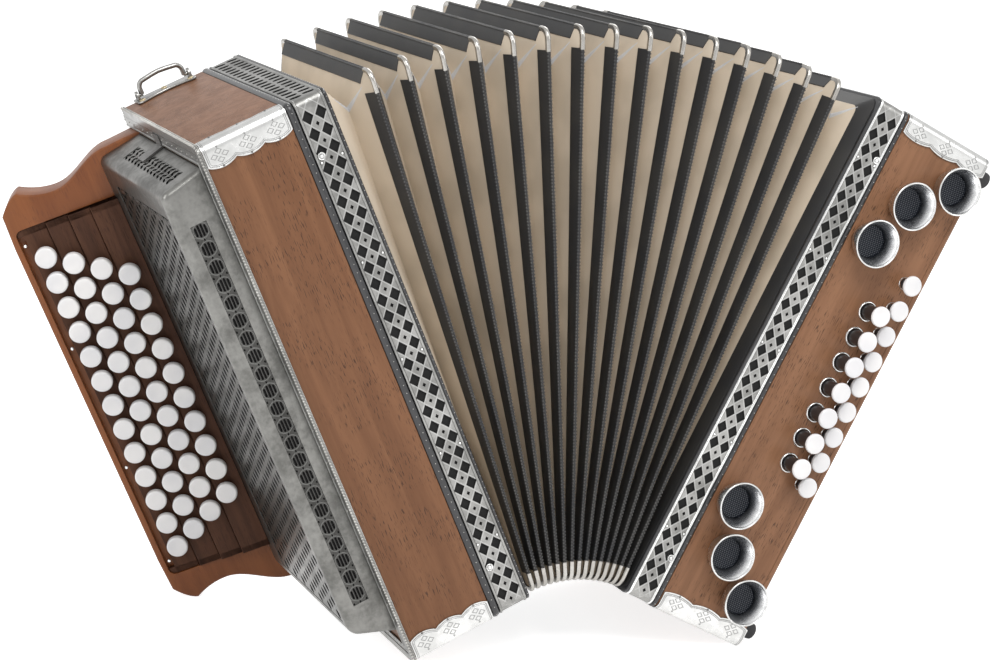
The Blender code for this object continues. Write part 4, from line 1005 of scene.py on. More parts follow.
@dataclass(frozen=True)
class BandFrame:
    """One side's bellows frame with its dotted beads, bright strips and pierced band.

    Args:
        side: the side.
        end: x where the wooden casing ends.
        bead: the width of the outer bead.
        way: 1 where x grows towards the bellows, -1 where it falls.
        stud: how far the band's studs stand from the bead.
    """

    side: Side
    end: float
    bead: float
    way: int
    stud: float
    band: float = 21.2
    lip: float = 2.0
    strip: float = 2.3
    pitch: float = 11.8
    rows: int = 31
    tile_low: float = 6.4
    ovals: int = 20
    oval_pitch: float = 8.9

    def at(self, distance: float) -> float:
        """x at a distance from the casing's end."""
        return self.end + self.way * distance

    def build(self) -> None:
        """Makes the frame, its dots, the strips, the band and its pins."""
        name = self.side.body
        draft = Draft()
        width = self.bead + self.band + self.lip
        profile = [(self.at(0.3), -9.0), (self.at(0.3), -0.3)]
        for step in range(9):
            share = step / 8
            profile.append((self.at(0.5 + (self.bead - 0.9) * share), 1.0 * math.sin(math.pi * share) ** 0.7))
        profile += [(self.at(self.bead), -1.4), (self.at(self.bead + self.band), -1.4),
                    (self.at(self.bead + self.band), 0.0), (self.at(width - 0.6), 0.2), (self.at(width), -0.4),
                    (self.at(width), -9.0)]
        ring(draft, profile)
        finish_piece(draft, f"{name}_frame", self.side, [BLACK], stands_for=[f"{name}_bellows_frame"])
        # Painted shade: a near-black ring set behind the pierced band, seen through its holes.
        shade_backing = Draft()
        ring(shade_backing, [(self.at(self.bead + a), depth) for a, depth in (
            (0.1, -1.32), (self.band - 0.1, -1.32), (self.band - 0.1, -1.39), (0.1, -1.39))])
        finish_piece(shade_backing, f"{name}_band_backing", self.side, [INSIDE_SHADE])
        strips = Draft()
        for start in (0.1, self.band - 0.1 - self.strip):
            middle = self.at(self.bead + start + self.strip / 2)
            ring(strips, [(middle + self.strip / 2 * math.cos(a), -0.9 + 1.5 * math.sin(a))
                          for a in (math.pi * k / 8 for k in range(9))])
        finish_piece(strips, f"{name}_band_edges", self.side, [EDGE if self.way > 0 else BRIGHT])
        self.build_dots()
        self.build_band()
        self.build_pins()

    def build_dots(self) -> None:
        """Makes the small dots along the two black beads."""
        outer = rounded_loop(self.at(self.bead * 0.52), 0.95)
        inner = rounded_loop(self.at(self.bead + self.band + self.lip * 0.55), 0.15)
        rows = [REPEAT.along(bead_shape(0.42), [outer + outer[:1]], 5.9)]
        if self.way > 0:
            rows.append(REPEAT.along(bead_shape(0.4), [inner + inner[:1]], 4.4))
        finish_piece(join_meshes(rows), f"{self.side.body}_bead_dots", self.side, [DOTS])

    def build_band(self) -> None:
        """Makes the pierced sheet between the bright strips."""
        middle, half = self.at(self.bead + self.band / 2), self.band / 2 - 0.35
        sheet = Openwork()
        reach, low = self.pitch / 2, -self.tile_low
        joint = [(-half, 0.0), (-4.65, 0.0), (0.0, -1.8), (4.65, 0.0), (half, 0.0)]
        tile = [(x, low + z) for x, z in joint] + [(x, low + self.pitch + z) for x, z in reversed(joint)]
        holes = [diamond(x, 0.0, 3.95, 5.0) for x in (-4.65, 4.65)] + [diamond(0.0, -reach, 1.3, 1.6)]
        margin = (TALL - self.rows * self.pitch) / 2
        for start in (0.0, TALL + WIDE + 2 * ARC):
            sheet.repeat(tile, holes, (middle, 0.0, start + margin - low), (self.rows, (0, 0, self.pitch)))
            low_end, high_end = ([(middle + x, start + up + z) for x, z in joint]
                                 for up in (margin, TALL - margin))
            left, right = middle - half, middle + half
            sheet.flats.append(sheet.tile([(left, start), (right, start)] + low_end[::-1]))
            sheet.flats.append(sheet.tile(high_end + [(right, start + TALL), (left, start + TALL)]))
        step = self.oval_pitch / 2
        tile = [(-half, -step), (half, -step), (half, step), (-half, step)]
        holes = [slot_outline(side * 4.7, 0.0, 8.6, 4.4, math.pi / 2 - 0.42 * self.way, 4) for side in (-1, 1)]
        margin = (WIDE - self.ovals * self.oval_pitch) / 2
        for start in (TALL + ARC, 2 * TALL + WIDE + 3 * ARC):
            sheet.repeat(tile, holes, (middle, 0.0, start + margin + step),
                         (self.ovals, (0, 0, self.oval_pitch)))
            sheet.patch((middle - half, start), (middle + half, start + margin))
            sheet.patch((middle - half, start + WIDE - margin), (middle + half, start + WIDE))
        start = 0.0
        for length in (TALL, WIDE, TALL, WIDE):
            start += length
            for k in range(6):
                sheet.patch((middle - half, start + ARC * k / 6), (middle + half, start + ARC * (k + 1) / 6))
            start += ARC
        draft = sheet.close(lambda u, v, depth: (u, *around(v, -0.2 - depth)), 0.4, OUTLINE)
        engraved = band_material(self.side, middle, (TALL - self.rows * self.pitch) / 2 + self.tile_low)
        finish_piece(draft, f"{self.side.body}_pierced_band", self.side, [engraved],
                     stands_for=[f"{self.side.body}_band"], smooth=25)

    def build_pins(self) -> None:
        """Makes the bright pins in pairs and the studs near the ends."""
        draft = Draft()
        stud_x = self.at(self.bead + self.stud)
        for y, out in ((-HALF, -1), (HALF, 1)):
            for z in (HEIGHT - 38.7, 35.2):
                place = (stud_x, y - out * 0.2, z)
                draft.lathe([(-1.0, 0), (-1.0, 2.7), (0.35, 2.7), (0.6, 2.4), (0.35, 2.0), (0.35, 0)], place,
                            (0, out, 0), 24)
                dome(draft, (stud_x, y, z), (0, out, 0), 1.5, 1.4, 18)
            for k in range(5):
                z = 54.0 + 70.8 * k
                for distance in (3.2, self.band - 3.2):
                    dome(draft, (self.at(self.bead + distance), y, z), (0, out, 0), 0.95, 0.8, 10)
        finish_piece(draft, f"{self.side.body}_band_pins", self.side, [BRIGHT],
                     smooth=50)


def band_material(side: Side, middle: float, first: float) -> Material:
    """Aged silver with bright engraved lines crossing between the diamonds.

    Args:
        side: the side.
        middle: x of the band's middle, in millimetres.
        first: the length at which the first diamonds stand.

    Returns:
        The material.
    """
    shade = Dressing(SILVER.material(side))
    u, v, _ = shade.runs()
    across = shade.math("DIVIDE", shade.minus(u, middle), 4.65)
    reach = ARC / 2
    length = shade.minus(shade.math("MODULO", shade.plus(v, reach), OUTLINE / 2), reach)
    marks = []
    for pitch in (5.9, -5.9):
        along = shade.math("DIVIDE", shade.minus(length, first), pitch)
        marks.append(shade.below(shade.math("PINGPONG", shade.plus(across, along), 1.0), 0.05, 0.11))
    mark = shade.times(shade.math("MAXIMUM", *marks), shade.math("LESS_THAN", length, TALL + reach))
    shade.cover(shade.times(mark, 0.5), (0.52, 0.52, 0.51))
    return shade.made


@dataclass(frozen=True)
class CornerPlate:
    """A scalloped plate bent over a casing's front edge."""

    name: str
    side: Side
    left: float
    right: float
    top: bool
    lobes: int = 3
    steps: int = 12
    rows: int = 30
    sheet: float = 0.8
    front: float = 14.5
    drop: float = 2.9
    over: float = 9.0
    top_drop: float = 1.2

    def place(self, path: float, lift: float) -> tuple[float, float]:
        """The place (y, z) at a path measured over the bend, positive down the front."""
        base = RADIUS + 0.3
        quarter = base * math.pi / 4
        centre_y, centre_z = -HALF + RADIUS, HEIGHT - RADIUS
        if path > quarter:
            y, z, out = centre_y - base, centre_z - (path - quarter), (-1.0, 0.0)
        elif path < -quarter:
            y, z, out = centre_y + (-quarter - path), centre_z + base, (0.0, 1.0)
        else:
            angle = math.radians(135) + path / base
            out = (math.cos(angle), math.sin(angle))
            y, z = centre_y + base * out[0], centre_z + base * out[1]
        y, z = y + out[0] * lift, z + out[1] * lift
        return (y, z) if self.top else (y, HEIGHT - z)

    def reach(self, x: float) -> tuple[float, float]:
        """How far the plate goes down the front and over the top at x."""
        quarter = (RADIUS + 0.3) * math.pi / 4
        lobe = abs(math.sin(math.pi * (x - self.left) / (self.right - self.left) * self.lobes)) ** 0.8
        return (quarter + self.front - RADIUS + self.drop * lobe,
                quarter + self.over - RADIUS + self.top_drop * lobe)

    def build(self) -> None:
        """Makes the plate and its pins."""
        draft = Draft()
        columns = self.lobes * self.steps
        grids: list[list[list[int]]] = []
        for lift in (0.0, self.sheet):
            grid = []
            for column in range(columns + 1):
                x = self.left + (self.right - self.left) * column / columns
                ahead, behind = self.reach(x)
                line, runs = [], []
                for row in range(self.rows + 1):
                    path = -behind + (ahead + behind) * row / self.rows
                    line.append((x, *self.place(path, lift)))
                    border = min(ahead - path, path + behind, x - self.left, self.right - x)
                    runs.append((x - self.left, path, border))
                grid.append(draft.add(line, runs))
            grids.append(grid)
            draft.skin(grid, around=False)
        inner, outer = grids
        for row in range(self.rows):
            for column in (0, columns):
                draft.face((inner[column][row], inner[column][row + 1], outer[column][row + 1],
                            outer[column][row]))
        for column in range(columns):
            for row in (0, self.rows):
                draft.face((inner[column][row], inner[column + 1][row], outer[column + 1][row],
                            outer[column][row]))
        pitch = (self.right - self.left) / self.lobes
        finish_piece(draft, self.name, self.side, [plate_material(self.side, pitch)], stands_for=[self.name],
                     smooth=30)
        pins = Draft()
        for k in range(self.lobes):
            x = self.left + pitch * (k + 0.5)
            ahead, behind = self.reach(x)
            for path, out in ((ahead - 0.9, (0, -1, 0)), (-behind + 0.9, (0, 0, 1 if self.top else -1))):
                dome(pins, (x, *self.place(path, self.sheet)), out, 0.75, 0.55, 10)
        finish_piece(pins, f"{self.name}_pins", self.side, [DARK_PIN])


def plate_material(side: Side, pitch: float) -> Material:
    """Polished silver with an engraved double border and five small lozenges in each lobe.

    Args:
        side: the side.
        pitch: the width of a lobe, in millimetres.

    Returns:
        The material.
    """
    shade = Dressing(PLATE.material(side))
    x, path, border = shade.runs()
    lobe = shade.minus(shade.math("MODULO", x, pitch), pitch / 2)
    high = shade.minus(path, 8.6 if side is TREBLE else 7.4)
    flat, tall = shade.times(lobe, 0.46), shade.times(high, 0.60)
    p, q = (shade.gap(shade.gap(flat, side_way), 1.75) for side_way in (shade.times(tall, -1.0), tall))
    top = shade.plus(shade.gap(lobe, 0.0), shade.gap(high, -5.6))
    lines = [shade.below(shade.gap(value, centre), half * 0.5, half) for value, centre, half in (
        (border, 1.2, 0.45), (border, 2.2, 0.28), (shade.math("MAXIMUM", p, q), 1.05, 0.26), (top, 0.0, 1.1))]
    mark = functools.reduce(functools.partial(shade.math, "MAXIMUM"), lines)
    shade.cover(shade.times(mark, 0.62), even(0.10))
    shade.bump(shade.times(mark, -1.0), 0.6, 0.3)
    return shade.made


@dataclass(frozen=True)
class TrebleCase:
    """The treble casing with the silver trim round its keyboard face."""

    width: float = 61.0
    wall: float = 7.0
    trim_sheet: float = 1.0
    trim_face: float = 1.2
    trim_side: float = 4.4
    flange: float = 10.6

    def build(self) -> None:
        """Makes the casing and its trim."""
        draft = Draft()
        wall, width = self.wall, self.width
        outline = ((wall, -wall), (width, -wall), (width, -0.3), (width - 0.3, 0.0), (0.8, 0.0), (0.25, -0.25),
                   (0.0, -0.8))
        draft.loft([rounded_loop(x, grow) for x, grow in outline])
        finish_piece(draft, "treble_case", TREBLE, [WALNUT], stands_for=["treble_casing"])
        self.build_trim()

    def build_trim(self) -> None:
        """Makes the angle strip along the top, front and bottom edges, with its flange and its beads."""
        clear, face, side = 0.3, self.trim_face, self.trim_side
        outer = clear + self.trim_sheet
        section = [(-clear, -side), (-outer, -side), (-outer, outer - 0.5), (-outer + 0.5, outer),
                   (face, outer), (face, clear), (-clear, clear)]
        stations = [-ARC - WIDE + 2.0] + [-ARC + ARC * k / 8 for k in range(9)]
        stations += [TALL + ARC * k / 8 for k in range(9)] + [TALL + ARC + WIDE - 2.0]
        draft = Draft()
        draft.loft([[(x, *around(s, grow)) for x, grow in section] for s in stations])
        edge, flat = self.flange, outer - 0.35
        section = [(-clear, -edge), (-outer, -edge), (-outer, 1.0 - edge), (-flat, 1.3 - edge),
                   (-flat, 0.2 - side), (-clear, 0.2 - side)]
        draft.loft([[(x, *self.corner(k, grow)) for x, grow in section] for k in range(4)])
        finish_piece(draft, "treble_trim", TREBLE, [EDGE], stands_for=["treble_edge_trim"])
        rope = [(-0.75, *around(s, outer - 0.1)) for s in stations]
        rim = [(face - 0.45, *around(s, outer)) for s in stations]
        pins = [(-flat, *self.corner(k, -0.65 * edge)) for k in range(4)]
        strings = [REPEAT.along(bead_shape(radius), [path], step) for radius, path, step in (
            (0.9, rope, 2.2), (0.45, rim, 1.1), (0.6, pins, 12.0))]
        finish_piece(join_meshes(strings), "treble_trim_beads", TREBLE, [DOTS])
        back = Draft()
        back.box((2.0, 372.0), (59.0, 375.0), (HALF - 0.2, HALF + 0.7), upright)
        finish_piece(back, "treble_back_strip", TREBLE, [EDGE], bevel=0.2)

    @staticmethod
    def corner(index: int, grow: float) -> tuple[float, float]:
        """One of the flange's four turning points as (y, z), at a distance outside the casing."""
        y = HALF - 2.0 if index in (0, 3) else -HALF - grow
        return (y, HEIGHT + grow * 1.2 if index < 2 else -grow)


# Treble board and hood

KEY_ANGLE = math.radians(20.0)
BOARD_FRONT = HALF - 30.0


def key_place(s: float, z: float, n: float) -> Point:
    """A point of the inclined board: s from the casing, n out of its front."""
    s = max(s, (0.3 - n * math.sin(KEY_ANGLE)) / math.cos(KEY_ANGLE))
    return (-s * math.cos(KEY_ANGLE) - n * math.sin(KEY_ANGLE),
            BOARD_FRONT + s * math.sin(KEY_ANGLE) - n * math.cos(KEY_ANGLE), z)


def tread_place(s: float, z: float, n: float) -> Point:
    """As key_place, but ending beside the hood's outer wall."""
    return key_place(max(s, (31.3 - n * math.sin(KEY_ANGLE)) / math.cos(KEY_ANGLE)), z, n)


def hood_back(x: float, clearance: float) -> float:
    """The y at which the hood meets the inclined board."""
    return BOARD_FRONT - x * math.tan(KEY_ANGLE) - clearance / math.cos(KEY_ANGLE)


def shrink(outline: Sequence[Point], inset: float) -> Outline:
    """Moves a flat outline's points inwards along its corners' bisectors.

    Args:
        outline: the points, in order.
        inset: how far they move.

    Returns:
        The moved points.
    """
    points = [Vector(p) for p in outline]
    area = sum(a.x * b.y - b.x * a.y for a, b in zip(points, points[1:] + points[:1]))
    turn = 1.0 if area > 0 else -1.0
    moved = []
    for index, point in enumerate(points):
        before, after = points[index - 1], points[(index + 1) % len(points)]
        first, second = (point - before).normalized(), (after - point).normalized()
        normal = Vector((-(first.y + second.y), first.x + second.x)) * turn
        moved.append(tuple(point + normal.normalized() * inset))
    return moved


def cap_profile(high: float, low: float, radius: float, soft: float = 1.3) -> Outline:
    """The profile of a flat round button with a slightly hollow top and rounded edges."""
    return [(high - 0.3, 0), (high - 0.25, radius * 0.5), (high, radius * 0.84),
            *arc((high - soft, radius - soft), soft, 22.5, 90, 3), (low + 0.6, radius), (low, radius - 0.6)]


@dataclass(frozen=True)
class Board:
    """The wooden keyboard: the ogee board, the stepped board and the pearl buttons."""

    width: float = 107.0
    thick: float = 21.0
    row_one: float = 92.8
    row_pitch: float = 16.7
    pitch: float = 19.4
    counts: tuple[int, ...] = (13, 12, 11, 10)
    first_z: float = 308.7
    rise: float = 2.8
    tread_low: float = 54.0
    tread_high: float = 331.0
    tread_edge: float = 107.0

    def ogee(self) -> Outline:
        """One end of the board's outline as (s, drop).

        Returns:
            The points from the casing outwards.
        """
        width, scoop, horn_rise = self.width, 18.0, 7.0
        hump, valley, horn = 0.25 * width, 0.66 * width, 0.89 * width
        stretches = ((25, 0, lambda t: (hump + (valley - hump) * t,
                                        2.0 + (scoop - 2.0) * (1 - math.cos(math.pi * t)) / 2)),
                     (13, 1, lambda t: (valley + (horn - valley) * t, scoop - horn_rise * t * t)),
                     (13, 1, lambda t: (horn + (width + 3.5 - horn) * t, scoop - horn_rise + 12.0 * t ** 1.6)),
                     (7, 1, lambda t: (width + 3.5 + 1.2 * t, scoop + 5.0 + 25.0 * t)))
        return [(0.0, 0.0), (0.12 * width, 0.6)] + [
            curve(k / (count - 1)) for count, first, curve in stretches for k in range(first, count)]

    def build(self) -> None:
        """Makes the boards, screws and buttons."""
        upper = self.ogee()
        outline = [(s, 367.0 - drop) for s, drop in upper] + [(s, 20.0 + drop) for s, drop in reversed(upper)]
        outline[-1] = (0.0, 14.0)
        levels = [(-self.thick, 1.4), (-self.thick + 0.5, 0.4), (-self.thick + 1.4, 0.0), (-1.5, 0.0),
                  (-0.75, 0.2), (-0.2, 0.75), (0.0, 1.5)]
        draft = Draft()
        draft.loft([[key_place(s, z, n) for s, z in shrink(outline, inset)] for n, inset in levels])
        low, high, edge, turn = self.tread_low - 0.3, self.tread_high + 0.3, self.tread_edge + 0.3, 5.0
        seat = [(33.0, low), *arc((edge - turn, low + turn), turn, -90, 0, 6),
                *arc((edge - turn, high - turn), turn, 0, 90, 6), (33.0, high)]
        pocket = Draft()
        pocket.prism(seat, -5.1, 4.0, key_place)
        pocket.box((37.0, low + 4), (98.0, high - 4), (-13.0, -5.0), key_place)
        board = cut(shape(draft, "key_board"), shape(pocket, "pocket"))
        finish_piece(board, "key_board", TREBLE, [CHERRY], stands_for=["keyboard_body"],
                     smooth=40)
        self.build_treads()
        out = Vector(key_place(50.0, 0.0, 1.0)) - Vector(key_place(50.0, 0.0, 0.0))
        screws = Draft()
        for z in (319.4, 239.1, 142.9, 64.7):
            dome(screws, key_place(104.2, z, -1.0), out, 1.3, 0.7, 12)
        finish_piece(screws, "board_screws", TREBLE, [BRIGHT])
        for row in range(len(self.counts)):
            self.build_row(row, out)

    def row(self, row: int) -> tuple[float, float, list[float]]:
        """A row's distance from the casing, its surface and its buttons' heights."""
        first = self.first_z - row * self.pitch / 2
        return (self.row_one - row * self.row_pitch, self.rise * row - 1.0,
                [first - k * self.pitch for k in range(self.counts[row])])

    def build_treads(self) -> None:
        """Makes the stepped board."""
        s, turn = self.tread_edge, 4.8
        section, last = [(0.0, -5.0), (s, -5.0)], len(self.counts) - 1
        for row in range(last + 1):
            s_row, surface, _ = self.row(row)
            section += [(s, surface - 0.6), (s - 0.6, surface)]
            s = 0.0 if row == last else s_row - self.row_pitch / 2
            section += [(s, surface)] if row == last else [(s + 1.0, surface), (s + 0.8, surface - 0.9),
                                                           (s, surface - 0.9)]
        draft = Draft()
        ends = arc((self.tread_low + turn, turn), turn, 270, 180, 6)
        ends += [(self.tread_low + self.tread_high - z, back) for z, back in reversed(ends)]
        draft.loft([[tread_place(min(u, self.tread_edge - back), z, v) for u, v in section]
                    for z, back in ends])
        finish_piece(draft, "stepped_board", TREBLE, [DARK_WOOD], stands_for=["keyboard_steps"],
                     bevel=0.3)

    def build_row(self, row: int, out: Vector) -> None:
        """Makes one row of buttons on their shafts and lever bar.

        Args:
            row: the row's number from the board's outer edge.
            out: the way the buttons face.
        """
        s_row, surface, heights = self.row(row)
        draft = Draft()
        bar = -5.5
        draft.box((s_row - 4, heights[-1] - 4), (s_row + 4, heights[0] + 4), (bar - 2.6, bar), key_place, 1)
        low, high = surface + 4.0, surface + 9.0
        for z in heights:
            base = key_place(s_row, z, 0.0)
            draft.lathe(cap_profile(high, low, 7.55) + [(low, 0)], base, out, 32, 0)
            draft.lathe([(low + 0.01, 0), (low + 0.01, 2.6), (bar - 0.4, 2.6), (bar - 0.4, 0)], base, out, 12,
                        tag=1)
        finish_piece(draft, f"treble_row_{row + 1}", TREBLE, [PEARL, BLACK], body=f"row_{row + 1}",
                     stands_for=[f"treble_buttons_row_{row + 1}"])


def fillet(before: Point, corner: Point, after: Point, radius: float, steps: int) -> Outline:
    """Points of the arc that rounds one corner of a flat outline.

    Args:
        before: the point before it.
        corner: the corner.
        after: the point after it.
        radius: the arc's radius.
        steps: how many chords it has.

    Returns:
        The arc's points.
    """
    point = Vector(corner)
    back, ahead = (Vector(before) - point).normalized(), (Vector(after) - point).normalized()
    half = back.angle(ahead) / 2
    reach = radius / math.tan(half)
    centre = point + (back + ahead).normalized() * (radius / math.sin(half))
    start, end = point + back * reach - centre, point + ahead * reach - centre
    sweep = start.angle(end)
    bend = []
    for k in range(steps + 1):
        share = k / steps
        arm = (start * math.sin((1 - share) * sweep) + end * math.sin(share * sweep)) / math.sin(sweep)
        bend.append(tuple(centre + arm))
    return bend


@dataclass(frozen=True)
class Hood:
    """The valve hood: a folded silver sheet with a rosette strip, a slotted flank and a slotted top."""

    reach: float = 31.0
    front: float = -85.0
    sheet: float = 1.4
    soft: float = 4.0
    recess: float = 0.25
    lap: float = 0.4
    slope: float = 6.5 / 31.0
    rosettes: int = 22
    rosette_pitch: float = 12.85
    rosette_x: float = -15.85
    rosette_z: float = 192.5
    rosette_half: float = 6.1
    flank_low: tuple[float, float] = (-78.0, 41.0)
    flank_high: tuple[float, float] = (55.3, 343.1)
    top_low: tuple[float, float] = (-70.5, -22.0)
    top_high: tuple[float, float] = (41.5, -8.5)

    @property
    def strip_half(self) -> float:
        """Half the rosette strip's length."""
        return self.rosettes * self.rosette_pitch / 2

    def top(self, x: float) -> float:
        """The upper edge's height at x."""
        return 365.6 + self.slope * x

    @staticmethod
    def bottom(x: float) -> float:
        """The lower edge's height at x."""
        return 20.0 - 13.0 / 31.0 * x

    def on_top(self, y: float, x: float, lift: float) -> Point:
        """Places a drawing that lies on the sloping top."""
        return (x, y, self.top(x) + lift)

    def outline(self, inset: float) -> Outline:
        """The hood's outline seen from the front, shrunk on its three free sides."""
        far, near = -self.reach + inset, -0.3
        corners = [(near, self.top(near) - inset), (far, self.top(far) - inset), (far, self.bottom(far) + inset),
                   (near, self.bottom(near) + inset)]
        upper = fillet(*corners[:3], max(6.0 - inset / 2, 0.5), 8)
        lower = fillet(*corners[1:], max(10.0 - inset / 2, 0.5), 8)
        return [corners[0], *upper, *lower, corners[3]]

    def build(self) -> None:
        """Makes the shell with its windows, then the three pierced sheets."""
        draft = Draft()
        rings = [[(x, self.front + self.soft - depth, z) for x, z in self.outline(self.soft - out)]
                 for depth, out in arc((0.0, 0.0), self.soft, 0, 90, 6)]
        rings.append([(x, hood_back(x, 0.3), z) for x, z in self.outline(0.0)])
        rings += [[(x, hood_back(x, 0.3), z) for x, z in self.outline(self.sheet)],
                  [(x, self.front + self.sheet + 3.0, z) for x, z in self.outline(self.sheet)],
                  [(x, self.front + self.sheet, z) for x, z in self.outline(self.sheet + 3.0)]]
        indices = [draft.add(loop) for loop in rings]
        draft.skin(indices[:9])
        draft.skin(indices[8:], 1)
        draft.face(indices[0])
        draft.face(indices[-1][::-1], 1)
        windows = Draft()
        reach, strip = self.rosette_half, self.strip_half
        for low, high, depth, place in (
                ((self.rosette_x - reach, self.rosette_z - strip), (self.rosette_x + reach, self.rosette_z + strip),
                 self.front, upright),
                (self.flank_low, self.flank_high, -self.reach, sideways),
                (self.top_low, self.top_high, -self.sheet, self.on_top)):
            windows.box([value + self.lap for value in low], [value - self.lap for value in high],
                        (depth - 1.0, depth + self.sheet + 1.0), place)
        # The shell's inner faces wear the near-black painted shade.
        finish_piece(cut(shape(draft, "hood_shell"), shape(windows, "windows")), "hood_shell", TREBLE,
                     [HOOD_SILVER, INSIDE_SHADE], stands_for=["hood"], smooth=40)
        # Painted shade: near-black sheets behind the three pierced sheets, where the hood's open inside would lie
        # in shade.
        shade_sheet, near, far = Draft(), self.sheet + 0.15, self.sheet + 0.35
        shade_sheet.box((-80.0, 39.0), (57.0, 345.0), (near - self.reach, far - self.reach), sideways)
        shade_sheet.box((-23.0, 49.0), (-8.5, 336.0), (self.front + near, self.front + far), upright)
        shade_sheet.box((-72.0, -23.0), (43.0, -7.5), (-far, -near), self.on_top)
        finish_piece(shade_sheet, "hood_lining", TREBLE, [INSIDE_SHADE])
        self.build_rosettes()
        self.build_flank()
        self.build_top()

    def build_rosettes(self) -> None:
        """Makes the strip of slotted rosettes."""
        half, pitch = self.rosette_half, self.rosette_pitch
        low, high = -0.6 * pitch, 0.4 * pitch
        first = self.rosette_z - self.strip_half - low
        holes = []
        for x in (-3.3, -1.1, 1.1, 3.3):
            holes.append(slot_outline(x, 0.0, 2 * math.sqrt(4.9 ** 2 - x * x) - 0.6, 1.55))
        for x in (-4.6, 4.6):
            holes.append(slot_outline(x, -pitch / 2, 1.9, 1.1))
        holes.append(diamond(0.0, -pitch / 2, 0.8, 0.9))
        sheet = Openwork()
        tile = [(-half, low), (half, low), (half, high), (-half, high)]
        sheet.repeat(tile, holes, (self.rosette_x, 0.0, first), (self.rosettes, (0, 0, pitch)))
        draft = sheet.close(lambda u, v, depth: (u, self.front + self.recess + depth, v), 0.5)
        etched = rosette_material(self.rosette_x, first, pitch)
        finish_piece(draft, "hood_rosettes", TREBLE, [etched], smooth=25)

    def build_flank(self) -> None:
        """Makes the slotted flank, its columns staggered by half a slot."""
        wide, tall, columns, rows = 9.5214286, 10.79, 14, 28
        u, v = self.flank_low
        tile = [(-wide / 2, -tall / 2), (wide / 2, -tall / 2), (wide / 2, 0.0), (wide / 2, tall / 2),
                (-wide / 2, tall / 2), (-wide / 2, 0.0)]
        sheet = Openwork()
        sheet.repeat(tile, [slot_outline(0.0, 0.0, 8.4, 5.4)], (u + wide / 2, 0.0, v + tall / 2),
                     (columns, (wide, 0, 0)), (rows, (0, 0, tall)), (0, 0, tall / 2))
        for k in range(columns):
            start = v if k % 2 else v + (rows - 0.5) * tall
            sheet.patch((u + k * wide, start), (u + (k + 1) * wide, start + tall / 2))
        draft = sheet.close(lambda a, b, depth: (-self.reach + self.recess + depth, a, b), 0.35)
        finish_piece(draft, "hood_flank", TREBLE, [FLANK_SILVER], smooth=25)

    def build_top(self) -> None:
        """Makes the slotted top, its slots leaning one way and the other."""
        wide, deep, columns = 8.0, 13.5, 14
        holes = [slot_outline(0.0, deep / 2 - 2.0 - 3.17 * k, 6.2, 1.9, math.pi / 2 + lean)
                 for k, lean in enumerate((-0.34, 0.34, -0.34, 0.34))]
        sheet = Openwork()
        tile = [(-wide / 2, -deep / 2), (wide / 2, -deep / 2), (wide / 2, deep / 2), (-wide / 2, deep / 2)]
        start = (self.top_low[0] + wide / 2, 0.0, self.top_low[1] + deep / 2)
        sheet.repeat(tile, holes, start, (columns, (wide, 0, 0)))
        draft = sheet.close(lambda a, b, depth: self.on_top(a, b, -self.recess - depth), 0.4)
        finish_piece(draft, "hood_top", TREBLE, [HOOD_SILVER], smooth=25)


def rosette_material(x: float, first: float, pitch: float) -> Material:
    """Dark aged silver with a bright ring round each rosette and crossing lines between them.

    Args:
        x: the strip's middle.
        first: the first rosette's height.
        pitch: the step between rosettes.

    Returns:
        The material.
    """
    shade = Dressing(OPENWORK.material(TREBLE))
    u, v, _ = shade.runs()
    across = shade.gap(u, x)
    along = shade.math("PINGPONG", shade.minus(v, first - 10 * pitch), pitch / 2)
    far = shade.math("SQRT", shade.plus(shade.times(across, across), shade.times(along, along)))
    cross = shade.gap(shade.times(shade.minus(pitch / 2, along), 1.5), across)
    mark = shade.math("MAXIMUM", shade.below(shade.gap(far, 5.1), 0.15, 0.35), shade.below(cross, 0.2, 0.4))
    shade.cover(shade.times(mark, 0.5), (0.22, 0.22, 0.21))
    shade.bump(mark, 0.5, 0.2)
    return shade.made


